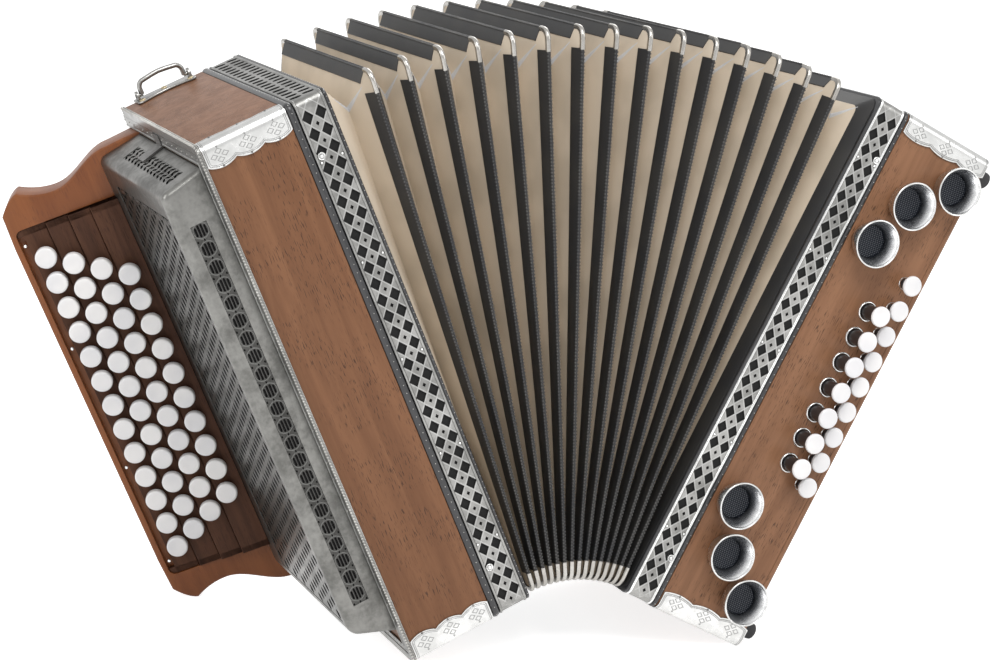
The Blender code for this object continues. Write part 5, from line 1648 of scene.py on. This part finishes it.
@dataclass(frozen=True)
class Bracket:
    """The strap bracket on the treble's top with its swinging bail."""

    x: float = 31.5
    y: float = 85.5
    length: float = 44.0
    width: float = 15.0
    waist: float = 4.5
    span: float = 32.0
    rod: float = 2.3
    axis_z: float = 384.8

    def build(self) -> None:
        """Makes the plate, its ears and screws, and the bail."""
        half, back = self.length / 2, self.width / 2
        outline = [(self.x - half, self.y + back), (self.x - half, self.y - back + 1.5),
                   (self.x - half + 1.5, self.y - back)]
        outline += [(self.x - half + 2 + (self.length - 4) * k / 24,
                     self.y - back + self.waist * math.sin(math.pi * k / 24)) for k in range(1, 24)]
        outline += [(self.x + half - 1.5, self.y - back), (self.x + half, self.y - back + 1.5),
                    (self.x + half, self.y + back)]
        draft = Draft()
        draft.loft([[(u, v, w) for u, v in shrink(outline, inset)]
                    for w, inset in ((380.3, 0.0), (381.4, 0.0), (381.9, 0.5))])
        for way in (-1, 1):
            near = self.x + way * (self.span / 2 + self.rod + 0.3)
            ear = arc((self.y, self.axis_z), 3.4, 0, 180, 12) + [(self.y - 3.4, 381.0), (self.y + 3.4, 381.0)]
            draft.prism(ear, near, near + way * 1.8, sideways)
        finish_piece(draft, "strap_bracket", TREBLE, [STEEL], stands_for=["strap_bracket_plate"],
                     bevel=0.25)
        screws = Draft()
        for x, y in ((self.x - 18.2, 81.0), (self.x, 87.5), (self.x + 18.2, 81.0)):
            dome(screws, (x, y, 381.9), (0, 0, 1), 2.3, 1.1)
        finish_piece(screws, "bracket_screws", TREBLE, [BRASS], smooth=50)
        half = self.span / 2
        path = [(-half, 0.0), (-half, 2.5), *arc((5 - half, 3.9), 5.0, 180, 112.5, 6), (-half * 0.3, 9.6),
                (0.0, 9.95)]
        path += [(-u, v) for u, v in reversed(path[:-1])]
        bail = Draft()
        bail.sweep([(self.x + u, self.y, self.axis_z + v) for u, v in path], circle(1.75, 14), (0, 1, 0))
        for way in (-1, 1):
            bail.lathe([(0, 0), (0, 1.3), (self.rod + 3.2, 1.3), (self.rod + 3.2, 0)],
                       (self.x + way * (half - 0.5), self.y, self.axis_z), (way, 0, 0), 14)
        finish_piece(bail, "bail", TREBLE, [STEEL], body="bail", stands_for=["strap_bail"],
                     smooth=50)


# Bass side

@dataclass(frozen=True)
class BassCase:
    """The bass casing with its end cover, horns, buttons, feet and hand strap."""

    width: float = 74.5
    wall: float = 7.0
    cover: float = 5.0
    pitch: float = 19.6
    centre_z: float = 199.0
    outer_x: float = -16.4
    inner_x: float = -33.1
    horns: tuple[tuple[float, float], ...] = ((21.8, 30.8), (48.6, 55.0), (61.0, 89.5))

    def build(self) -> None:
        """Makes everything on the bass side."""
        draft = Draft()
        ring(draft, [(-self.cover - 0.3, 0.0), (-self.width + 0.3, 0.0), (-self.width, -0.3),
                     (-self.width, -self.wall), (-self.cover - 0.3, -self.wall)])
        finish_piece(draft, "bass_case", BASS, [BASS_WALNUT], stands_for=["bass_casing"])
        end, soft = Draft(), 3.0
        profile = [(-self.cover, 0.0), *arc((-soft, -soft), soft, 90, 0, 5)]
        end.loft([rounded_loop(x, grow) for x, grow in profile])
        finish_piece(end, "bass_cover", BASS, [BASS_WALNUT], stands_for=["bass_end_cover"])
        self.build_horns()
        self.build_buttons()
        self.build_feet()
        self.build_strap()

    def build_horns(self) -> None:
        """Makes the six flared horns with the gauze in their throats."""
        number = 0
        flare = [(0.3 + 16.9 * k / 14, 9.5 + 7.3 * (k / 14) ** 0.55) for k in range(15)]
        lip = arc((17.2, 16.2), 0.6, 67.5, -67.5, 6)
        bowl = [lip[-1], (16.9, 15.5), (16.0, 15.0), (14.5, 14.3), (12.5, 13.4), (10.0, 12.3), (8.0, 11.6),
                (6.2, 11.0)]
        gauze = [(6.2, 11.0), (5.8, 10.8), (5.4, 6.0), (5.3, 0)]
        for from_end, from_side in self.horns:
            for z in (HEIGHT - from_side, from_side):
                number += 1
                centre = (-from_end, -HALF, z)
                draft = Draft()
                draft.lathe([(0.3, 0)] + flare + lip, centre, (0, -1, 0), 56, 0)
                draft.lathe(bowl, centre, (0, -1, 0), 56, 2)
                draft.lathe(gauze, centre, (0, -1, 0), 56, 1)
                finish_piece(draft, f"horn_{number}", BASS, [PLATE, gauze_material(), bowl_material()],
                             stands_for=[f"bass_horn_{number}"], smooth=50)

    def buttons(self) -> list[tuple[str, float, float, float, float]]:
        """Each front button as (name, x, z, top, shaft radius)."""
        found = []
        for row, count, first, x, top, radius in (("outer", 9, 4.0, self.outer_x, 11.5, 3.5),
                                                  ("inner", 7, 2.5, self.inner_x, 20.0, 5.4)):
            found += [(f"bass_button_{row}_{k + 1}", x, self.centre_z + (first - k) * self.pitch, top, radius)
                      for k in range(count)]
        return found

    def build_buttons(self) -> None:
        """Makes the bass buttons, the ferrules and the air button."""
        rings = Draft()
        for name, x, z, top, shaft in self.buttons():
            self.one_button(name, (x, -HALF, z), (0, -1, 0), top, 7.2, 2.6, shaft)
            hole, rim = shaft + 0.6, shaft + (1.75 if shaft > 4 else 1.2)
            height = 1.6 if shaft > 4 else 0.5
            rings.lathe([(-0.2, hole), (height - 0.3, hole), (height, hole + 0.3), (height, rim - 0.4),
                         (height - 0.4, rim), (-0.2, rim), (-0.2, hole)], (x, -HALF, z), (0, -1, 0), 28)
        finish_piece(rings, "bass_ferrules", BASS, [BRIGHT], smooth=50)
        self.one_button("air_button", (-30.0, HALF, 284.0), (0, 1, 0), 7.0, 8.0, 3.0, 3.5)

    @staticmethod
    def one_button(name: str, base: Point, out: Point, top: float, radius: float, cap: float,
                   shaft: float) -> None:
        """Makes one button with its cap, shaft and inner collar.

        Args:
            name: the frame node it stands for.
            base: where its axis meets the casing.
            out: the way it faces.
            top: how far its top stands out.
            radius: its cap's radius.
            cap: its cap's height.
            shaft: its shaft's radius.
        """
        draft = Draft()
        draft.lathe(cap_profile(top, top - cap, radius, 1.2) + [(top - cap, 0)], base, out, 28, 0)
        collar = -7.6
        draft.lathe([(top - cap, 0), (top - cap, shaft), (collar, shaft), (collar, shaft + 1.8),
                     (collar - 1.8, shaft + 1.8), (collar - 1.8, 0)], base, out, 18, 1)
        finish_piece(draft, f"{name}_piece", BASS, [PEARL, BLACK], body=f"{name}_body", stands_for=[name],
                     smooth=40)

    @staticmethod
    def build_feet() -> None:
        """Makes the four rubber feet."""
        number = 0
        for y in (-84.0, 84.0):
            for z in (HEIGHT - 12.0, 12.0):
                number += 1
                draft = Draft()
                draft.lathe([(0.3, 0), (0.3, 6.0), (9.5, 6.0), (11.0, 5.6), (11.8, 4.6), (12.0, 3.4),
                             (12.0, 2.2), (10.6, 1.9), (10.6, 0)], (0, y, z), (1, 0, 0), 28)
                finish_piece(draft, f"foot_{number}", BASS, [RUBBER], stands_for=[f"rubber_foot_{number}"])

    @staticmethod
    def build_strap() -> None:
        """Makes the arched leather hand strap with its rolled edges and stitches."""
        low, high, end, bulge, thick, wide, centre = 70.0, 312.0, 18.0, 24.0, 4.0, 50.0, 28.0
        span = high - low - 2 * end
        rail = [(0.3, low), (0.3, low + end * 0.6), (0.3, low + end)]
        rail += [(0.3 + bulge * math.sin(math.pi * share) ** 1.2, low + end + span * share)
                 for share in (k / 36 for k in range(1, 36))]
        rail += [(0.3, high - end), (0.3, high - end * 0.6), (0.3, high)]
        edge = [(wide / 2 - inward, thick - drop) for inward, drop in (
            (0.6, thick), (0.0, thick - 0.6), (0.0, 1.4), (1.4, 0.4), (3.4, 0.1), (4.0, 0.6), (4.8, 0.2))]
        section = edge + [(0.0, thick)] + [(-u, v) for u, v in reversed(edge)]
        draft = Draft()
        loops: list[Loop] = []
        seams: list[list[Point]] = [[], []]
        for index, (x, z) in enumerate(rail):
            before, after = rail[max(index - 1, 0)], rail[min(index + 1, len(rail) - 1)]
            along = Vector((after[0] - before[0], after[1] - before[1])).normalized()
            out = Vector((along.y, -along.x))
            loops.append([(x + out.x * v, centre + u, z + out.y * v) for u, v in section])
            for seam, side in zip(seams, (-1, 1)):
                seam.append((x + out.x * (thick - 0.35), centre + side * (wide / 2 - 4.0),
                             z + out.y * (thick - 0.35)))
        draft.loft(loops)
        strap = finish_piece(draft, "strap", BASS, [LEATHER], stands_for=["hand_strap"],
                             smooth=40)
        stitches = REPEAT.along(bead_shape(0.55, (0.8, 0.8, 2.6)), seams, 4.6)
        finish_piece(stitches, "strap_stitches", BASS, [THREAD])


@functools.cache
def bowl_material() -> Material:
    """The horn's silver, darkening to blue-black down its throat: painted shade of the deep throat."""
    shade = Dressing(HORN.material(BASS))
    _, y, _ = shade.parts(own_frame(shade, BASS))
    # Painted shade: the bowl darkens to blue-black towards the throat.
    shade.cover(shade.below(shade.times(y, -1.0), (HALF + 5.5) * MM, (HALF + 14.0) * MM), (0.012, 0.018, 0.03))
    return shade.made


@functools.cache
def gauze_material() -> Material:
    """Gauze whose wires catch the light as a grid of fine dots; the blue-black between them is painted shade, the
    dark throat seen through the mesh.
    """
    shade = Dressing(bpy.data.materials.new("horn_gauze"))
    x, _, z = shade.parts(own_frame(shade, BASS))
    waves = [shade.math("MAXIMUM", shade.math("SINE", shade.times(way, 2 * math.pi / 0.0019)), 0.0)
             for way in (shade.plus(x, z), shade.minus(x, z))]
    dots = shade.ramp(shade.times(*waves), 0.25, 0.6)
    # Painted shade: the near-black blue between the wires.
    shade.dress(Base_Color=shade.mix(dots, (0.004, 0.006, 0.011), (0.20, 0.21, 0.23)),
                Metallic=shade.times(dots, 0.9), Roughness=0.45, Specular_IOR_Level=0.2)
    shade.bump(dots, 0.6, 0.4)
    return shade.made


# Bellows

class Edge(Enum):
    """The four edges of a fold."""

    FRONT = "front"
    TOP = "top"
    BACK = "back"
    BOTTOM = "bottom"


@dataclass(frozen=True)
class Bellows:
    """The fanned bellows, drawn in the treble's frame: two legs and a taped, beaded crest to each fold."""

    folds: int = 15
    per_section: int = 4
    depth: float = 28.0
    inset: float = 2.0
    pitch: float = 4.6
    step_angle: float = 3.06
    end_angle: float = 4.2
    start_x: float = 89.8
    past: float = 4.0
    tape: float = 9.6
    end_tape: float = 11.5
    corner: float = 11.5
    front_corner: float = 14.0
    round: float = 7.0
    bodies: tuple[str, ...] = ("treble", "bellows_a", "bellows_b", "bellows_c", "bass")

    @property
    def height(self) -> float:
        """The bellows' height in a fold's plane."""
        return HEIGHT - 2 * self.inset

    @property
    def half(self) -> float:
        """Half the bellows' depth from front to back."""
        return HALF - self.inset

    def lean(self, plane: float) -> float:
        """A fold plane's lean from the treble's upright, in radians; halves lie between planes."""
        if plane != int(plane):
            return (self.lean(math.floor(plane)) + self.lean(math.ceil(plane))) / 2
        if plane <= 0:
            return 0.0
        last = self.end_angle if plane > self.folds else 0.0
        return math.radians(self.end_angle + last + (min(plane, self.folds) - 1) * self.step_angle)

    @functools.cached_property
    def feet(self) -> list[Vector]:
        """Each fold plane's lower end as (x, z)."""
        points = [Vector((self.start_x, self.inset))]
        for plane in range(self.folds + 1):
            middle = self.lean(plane + 0.5)
            points.append(points[-1] + Vector((math.cos(middle), -math.sin(middle))) * self.pitch)
        return points

    def spot(self, plane: float, y: float, h: float) -> Vector:
        """The place at a depth and a height in a plane; a half plane lies midway between its neighbours."""
        lean = self.lean(plane)
        foot = (self.feet[math.floor(plane)] + self.feet[math.ceil(plane)]) / 2
        return Vector((foot.x + h * math.sin(lean), y, foot.y + h * math.cos(lean)))

    def normal(self, plane: float) -> Vector:
        """The direction across a plane, towards the bass."""
        lean = self.lean(plane)
        return Vector((math.cos(lean), 0.0, -math.sin(lean)))

    def opening(self, plane: float) -> float:
        """The angle between the two planes beside a half plane."""
        return self.lean(math.ceil(plane)) - self.lean(math.floor(plane))

    def deep(self, plane: float, h: float) -> float:
        """How far inside the peak line the valley of a half plane lies at a height."""
        return math.sqrt(self.depth ** 2 - ((self.pitch + h * self.opening(plane)) / 2) ** 2)

    def fraction(self, plane: float) -> tuple[int, float]:
        """The section that a plane belongs to, and how far it lies towards that section's far body."""
        section = min(int(plane // self.per_section), len(self.bodies) - 2)
        return section, (plane - section * self.per_section) / self.per_section

    def ring(self, plane: float, valley: bool, corner: float, inward: float = 0.0) -> Loop:
        """A closed ring in a plane, along its peak line or its valley line."""
        def deep(h: float) -> float:
            """How far inside the peak line the ring lies at a height."""
            return (self.deep(plane, h) if valley else 0.0) + inward
        low, high = deep(0.0), self.height - deep(self.height)
        wide_low, wide_high = self.half - deep(0.0), self.half - deep(self.height)
        centres = ((wide_low - corner, low + corner, -90), (wide_high - corner, high - corner, 0),
                   (-wide_high + corner, high - corner, 90), (-wide_low + corner, low + corner, 180))
        flat: Outline = []
        steps, arcs = 10, 5
        for index, (y, h, turn) in enumerate(centres):
            for k in range(arcs + 1):
                angle = math.radians(turn + 90 * k / arcs)
                flat.append((y + corner * math.cos(angle), h + corner * math.sin(angle)))
            after, start = centres[(index + 1) % 4], flat[-1]
            angle = math.radians(after[2])
            end = (after[0] + corner * math.cos(angle), after[1] + corner * math.sin(angle))
            for k in range(1, steps):
                y_k, h_k = (start[i] + (end[i] - start[i]) * k / steps for i in (0, 1))
                if index in (0, 2) and valley:
                    y_k = math.copysign(self.half - deep(h_k), y_k)
                flat.append((y_k, h_k))
        return [self.spot(plane, y, h) for y, h in flat]

    def edge(self, plane: float, side: Edge, share: float) -> tuple[Vector, Vector]:
        """A place on the peak line of a side and the place inward from it on the valley line.

        Args:
            plane: the leg's peak plane, plus or minus a quarter for the leg's way.
            side: the fold's edge.
            share: how far along the side, between its corners.

        Returns:
            Both places.
        """
        peak = round(plane)
        between = peak + (0.5 if plane > peak else -0.5)
        if side in (Edge.FRONT, Edge.BACK):
            way = -1 if side is Edge.FRONT else 1
            h = self.front_corner + (self.height - 2 * self.front_corner) * share
            inner = way * (self.half - self.deep(between, h))
            return self.spot(peak, way * self.half, h), self.spot(between, inner, h)
        y = -self.half + self.corner + 2 * (self.half - self.corner) * share
        h = self.height if side is Edge.TOP else 0.0
        inner = h - self.deep(between, h) if side is Edge.TOP else self.deep(between, h)
        return self.spot(peak, y, h), self.spot(between, y, inner)

    def leg(self, plane: int, way: int) -> None:
        """Makes the card leg from a plane's peak to the valley beside it, with its tapes and gussets.

        Args:
            plane: the fold plane at its peak.
            way: 1 for the valley after the plane, -1 for the one before.
        """
        between = plane + way * 0.5
        peak, valley = self.ring(plane, False, self.round), self.ring(between, True, 3.0)
        normal = self.normal(between) * way
        draft = Draft()

        def layer(lift: float, along: float) -> list[int]:
            """One ring of the leg at a distance from its peak, lifted off its middle."""
            return draft.add([a.lerp(b, along / self.depth) + normal * lift for a, b in zip(peak, valley)])
        rings = [layer(lift, along) for lift, along in (
            (-0.3, 0.3), (0.35, 0.3), (0.35, self.end_tape), (0.35, self.depth), (0.35, self.depth + self.past),
            (-0.3, self.depth + self.past))]
        taped = plane == self.folds + 1
        draft.skin(rings[:3], 1 if taped else 0)
        draft.skin(rings[2:] + rings[:1])
        wide = self.tape
        for side in () if plane in (0, self.folds + 1) else Edge:
            loops = []
            for k in range(9):
                top, low = self.edge(plane + way * 0.25, side, k / 8)
                loops.append([top.lerp(low, along / self.depth) + normal * lift for along, lift in (
                    (0.2, 0.1), (0.2, 0.75), (wide - 0.5, 0.85), (wide, 0.5), (wide, 0.1))])
            draft.loft(loops, 1)
        self.gussets(draft, peak, valley, normal)
        side_name = "left" if way < 0 else "right"
        section, at_valley = self.fraction(between)
        piece = finish_piece(draft, f"bellows_leg_{plane:02d}_{side_name}", TREBLE,
                             [CARD, TAPE, GUSSET], body="",
                             stands_for=[f"bellows_{section + 1}"], smooth=40)
        self.bend(piece, plane, section, (plane - section * self.per_section) / self.per_section, at_valley)

    def gussets(self, draft: Draft, peak: Loop, valley: Loop, normal: Vector) -> None:
        """Adds the soft wedge along each corner's mitre."""
        stations = ((10.0, 0.3, 0.1), (15.0, 0.9, 0.4), (21.0, 1.5, 0.6), (27.0, 2.0, 0.6), (31.0, 2.2, 0.4))
        arcs, count = 5, len(peak)
        for corner in range(4):
            start = corner * count // 4
            near = start + arcs // 2
            pair = [(points[near] + points[near + 1]) / 2 for points in (peak, valley)]
            across = (peak[start + arcs] - peak[start]).normalized()
            loops = []
            for along, wide, high in stations:
                middle = pair[0].lerp(pair[1], along / self.depth)
                soft = 0.4 + high * 0.6
                loops.append([middle + across * a + normal * b for a, b in (
                    (-wide, 0.1), (-wide * 0.6, soft), (0.0, 0.4 + high), (wide * 0.6, soft), (wide, 0.1))])
            draft.loft(loops, 2)

    def bend(self, piece: Object, plane: int, section: int, at_plane: float, at_valley: float) -> None:
        """Eases the shares of a leg's peak and valley between its two bodies, and bakes the leg's place into its
        mesh; the leg is tied to neither body.

        Args:
            piece: the leg.
            plane: its peak's plane.
            section: the section it lies in.
            at_plane: the share of the section's far body for the peak.
            at_valley: the share for the valley.
        """
        way = 1 if at_valley > at_plane else -1
        reach = (self.pitch + self.height * self.opening(plane + way * 0.5)) / 2
        t_peak, t_valley = eased(at_plane), eased(at_valley)
        change = abs(t_valley - t_peak)
        base, normal = self.spot(plane, 0.0, 0.0), self.normal(plane)
        ends = [TREBLE.matrix @ ((base + normal * (share / change * reach)) * MM)
                for share in (-t_peak, 1 - t_peak)]
        self.bodies[section]
        self.bodies[section + 1]
        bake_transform(piece)

    def crest(self, plane: int) -> None:
        """Makes the taped crest of one fold, its two rows of beads and its corner caps."""
        normal = self.normal(plane)
        draft = Draft()
        section = ((2.6, -1.1), (0.8, -1.15), (0.1, -0.8), (-0.15, 0.0), (0.1, 0.8), (0.8, 1.15), (2.6, 1.1))
        loops: list[Loop] = []
        for inward, aside in section:
            loop = self.ring(plane, False, max(self.round - inward, 1.0), inward)
            loops.append([p + normal * aside for p in loop])
        draft.loft(loops, along=True)
        piece = finish_piece(draft, f"bellows_crest_{plane:02d}", TREBLE, [TAPE], body="",
                             stands_for=[f"bellows_{min((plane - 1) // self.per_section, 3) + 1}"],
                             smooth=50)
        self.hold(piece, plane)
        self.beads(plane, normal)
        caps = Draft()
        for way in (-1, 1):
            for high in (True, False):
                self.cap(caps, plane, way, high, normal)
        held = finish_piece(caps, f"bellows_caps_{plane:02d}", TREBLE, [NICKEL], body="",
                            smooth=40)
        self.hold(held, plane)

    def beads(self, plane: int, normal: Vector) -> None:
        """Makes the embossed chain along the crest: two rows of beads, each between the other's."""
        step = 2.3
        made = []
        for aside in (-0.75, 0.75):
            paths = []
            for side in Edge:
                ends = []
                for share in (0.0, 1.0):
                    top, _ = self.edge(plane + 0.25, side, share)
                    ends.append(top)
                along = (ends[1] - ends[0]).normalized()
                shift = along * (step / 2 if aside > 0 else 0.0)
                paths.append([ends[0] + normal * aside + shift + along * 0.6,
                              ends[1] + normal * aside + shift - along * 1.4])
            made.append(REPEAT.along(bead_shape(0.7), paths, step))
        chain = finish_piece(join_meshes(made), f"bellows_chain_{plane:02d}", TREBLE, [CORD], body="",
                             smooth=60)
        self.hold(chain, plane)

    def cap(self, draft: Draft, plane: int, way: int, high: bool, normal: Vector) -> None:
        """Adds the metal cap at one corner of a fold.

        Args:
            draft: the mesh under construction.
            plane: the fold's plane.
            way: -1 for the front, 1 for the back.
            high: whether it is the upper corner.
            normal: the direction across the plane.
        """
        turn, down, across = self.round + 0.4, self.front_corner + 0.8, self.corner + 0.8
        line = [(0.0, down)]
        line += [(turn * (1 - math.cos(a)), turn * (1 - math.sin(a))) for a in (
            math.pi / 2 * k / 8 for k in range(9))]
        line.append((across, 0.0))
        loops: list[Loop] = []
        for inward, aside in ((2.4, -1.45), (-0.1, -1.45), (-0.7, -0.9), (-0.9, 0.0), (-0.7, 0.9), (-0.1, 1.45),
                              (2.4, 1.45)):
            loop = []
            for k, (u, v) in enumerate(line):
                angle = math.pi / 2 * min(max((k - 1) / 8, 0.0), 1.0)
                y = way * (self.half - u - inward * math.cos(angle))
                h = v + inward * math.sin(angle)
                loop.append(self.spot(plane, y, self.height - h if high else h) + normal * aside)
            loops.append(loop)
        draft.loft([list(points) for points in zip(*loops)])

    def hold(self, piece: Object, plane: int) -> None:
        """Ties a piece to its section's near body when it lies on that body's plane; otherwise bakes its place into
        its mesh, tied to neither body.
        """
        section, share = self.fraction(plane)
        if share == 0:
            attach(piece, self.bodies[section])
            return
        far = TREBLE.matrix.to_3x3() @ self.normal(plane) * 1000.0
        place = TREBLE.matrix @ (self.spot(plane, 0.0, 0.0) * MM)
        time = eased(share)
        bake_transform(piece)

    def build(self) -> None:
        """Makes every leg and crest."""
        for gap in range(self.folds + 1):
            self.leg(gap, 1)
            self.leg(gap + 1, -1)
        for plane in range(1, self.folds + 1):
            self.crest(plane)


def eased(share: float) -> float:
    """The time at which a smooth start and stop has covered a share of its way."""
    return 0.5 - math.sin(math.asin(1 - 2 * share) / 3)


# Scene

class Studio:
    """The floor, the light and the camera."""

    def __init__(self) -> None:
        """Keeps the scene."""
        self.scene = bpy.context.scene

    def build(self) -> None:
        """Sets up everything round the instrument."""
        self.scene.view_settings.view_transform = "Standard"
        self.floor()
        self.world()
        self.lamps()
        self.camera()

    def floor(self) -> None:
        """A plain pale floor that shows white and keeps the shadow."""
        mesh = bpy.data.meshes.new("floor")
        reach = 8.0
        mesh.from_pydata([(-reach, -reach, 0), (reach, -reach, 0), (reach, reach, 0), (-reach, reach, 0)], [],
                         [(0, 1, 2, 3)])
        shade = Dressing(bpy.data.materials.new("floor"))
        rays = shade.node("ShaderNodeLightPath").outputs
        seen = shade.math("MAXIMUM", rays["Is Camera Ray"], rays["Is Glossy Ray"])
        shade.dress(Base_Color=even(0.8), Roughness=0.8, Specular_IOR_Level=0.1, Emission_Color=even(1.0),
                    Emission_Strength=shade.times(seen, 0.82))
        mesh.materials.append(shade.made)
        floor = bpy.data.objects.new("floor", mesh)
        self.scene.collection.objects.link(floor)
        floor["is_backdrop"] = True

    def world(self) -> None:
        """A white surrounding that reads as white and lights softly."""
        world = bpy.data.worlds.new("world")
        world.use_nodes = True
        shade = Wiring(world.node_tree)
        rays = shade.node("ShaderNodeLightPath").outputs
        seen = shade.math("MAXIMUM", rays["Is Camera Ray"], rays["Is Transmission Ray"])
        seen = shade.math("MAXIMUM", seen, rays["Is Glossy Ray"])
        shade.feed(world.node_tree.nodes["Background"], Color=even(1.0),
                   Strength=shade.plus(shade.times(seen, 0.48), 0.52))
        self.scene.world = world

    def lamps(self) -> None:
        """Soft area lamps: one high in front, one from the left, one from the right and one behind."""
        for name, place, size, power in (
                ("key", (-0.3, -1.3, 1.9), 1.1, 28.0), ("side", (-1.7, -0.4, 0.9), 0.9, 6.0),
                ("right", (1.3, -1.2, 1.1), 0.9, 6.0), ("back", (0.9, 1.3, 1.5), 1.2, 12.0)):
            data = bpy.data.lights.new(name, "AREA")
            data.energy, data.size = power, size
            lamp = bpy.data.objects.new(name, data)
            lamp.location = place
            lamp.rotation_euler = (Vector((0, 0, 0.2)) - Vector(place)).to_track_quat("-Z", "Y").to_euler()
            self.scene.collection.objects.link(lamp)
            lamp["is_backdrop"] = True

    def camera(self) -> None:
        """The photograph's viewpoint, kept in the treble's frame."""
        right, up = Vector((0.865675, -0.358419, -0.349489)), Vector((0.440872, 0.215122, 0.871409))
        forward = Vector((0.237147, 0.908437, -0.344243))
        place = Matrix.Translation((-0.303716, -1.648771, 0.774863))
        turn = Matrix((right, up, -forward)).transposed().to_4x4()
        data = bpy.data.cameras.new("camera")
        data.lens, data.sensor_width, data.shift_x, data.shift_y = 94.596, 36.0, 0.0504, 0.0200
        data.clip_start, data.clip_end = 0.05, 50.0
        camera = bpy.data.objects.new("camera", data)
        camera.matrix_world = TREBLE.matrix @ place @ turn
        self.scene.collection.objects.link(camera)
        self.scene.camera = camera


def main() -> None:
    """Builds the accordion and its surroundings."""
    logging.basicConfig(level=logging.INFO, format="%(message)s")
    TrebleCase().build()
    BandFrame(TREBLE, end=61.0, bead=5.6, way=1, stud=4.9).build()
    BandFrame(BASS, end=-74.5, bead=3.8, way=-1, stud=3.4).build()
    for high in (True, False):
        end = "top" if high else "bottom"
        CornerPlate(f"treble_corner_plate_{end}", TREBLE, left=1.6, right=60.7, top=high).build()
        CornerPlate(f"bass_corner_plate_{end}", BASS, left=-74.2, right=-0.3, top=high, front=12.6,
                    drop=2.2).build()
    Board().build()
    Hood().build()
    Bracket().build()
    BassCase().build()
    Bellows().build()
    for node, finish, side in (("treble_sound_board", SPRUCE, TREBLE), ("bass_sound_board", SPRUCE, BASS),
                               ("treble_reed_block_1", SPRUCE, TREBLE), ("treble_reed_block_2", SPRUCE, TREBLE),
                               ("bass_reed_block", SPRUCE, BASS), ("hood_clip", DARK_PIN, TREBLE)):
        kept = frame["nodes"][node]
        kept.data.materials.clear()
        kept.data.materials.append(paint(finish, side))
    Studio().build()
    low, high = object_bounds()
    {"cad": CAD_BOX, "shown": [list(low), list(high)]}


if __name__ == "__main__":
    main()
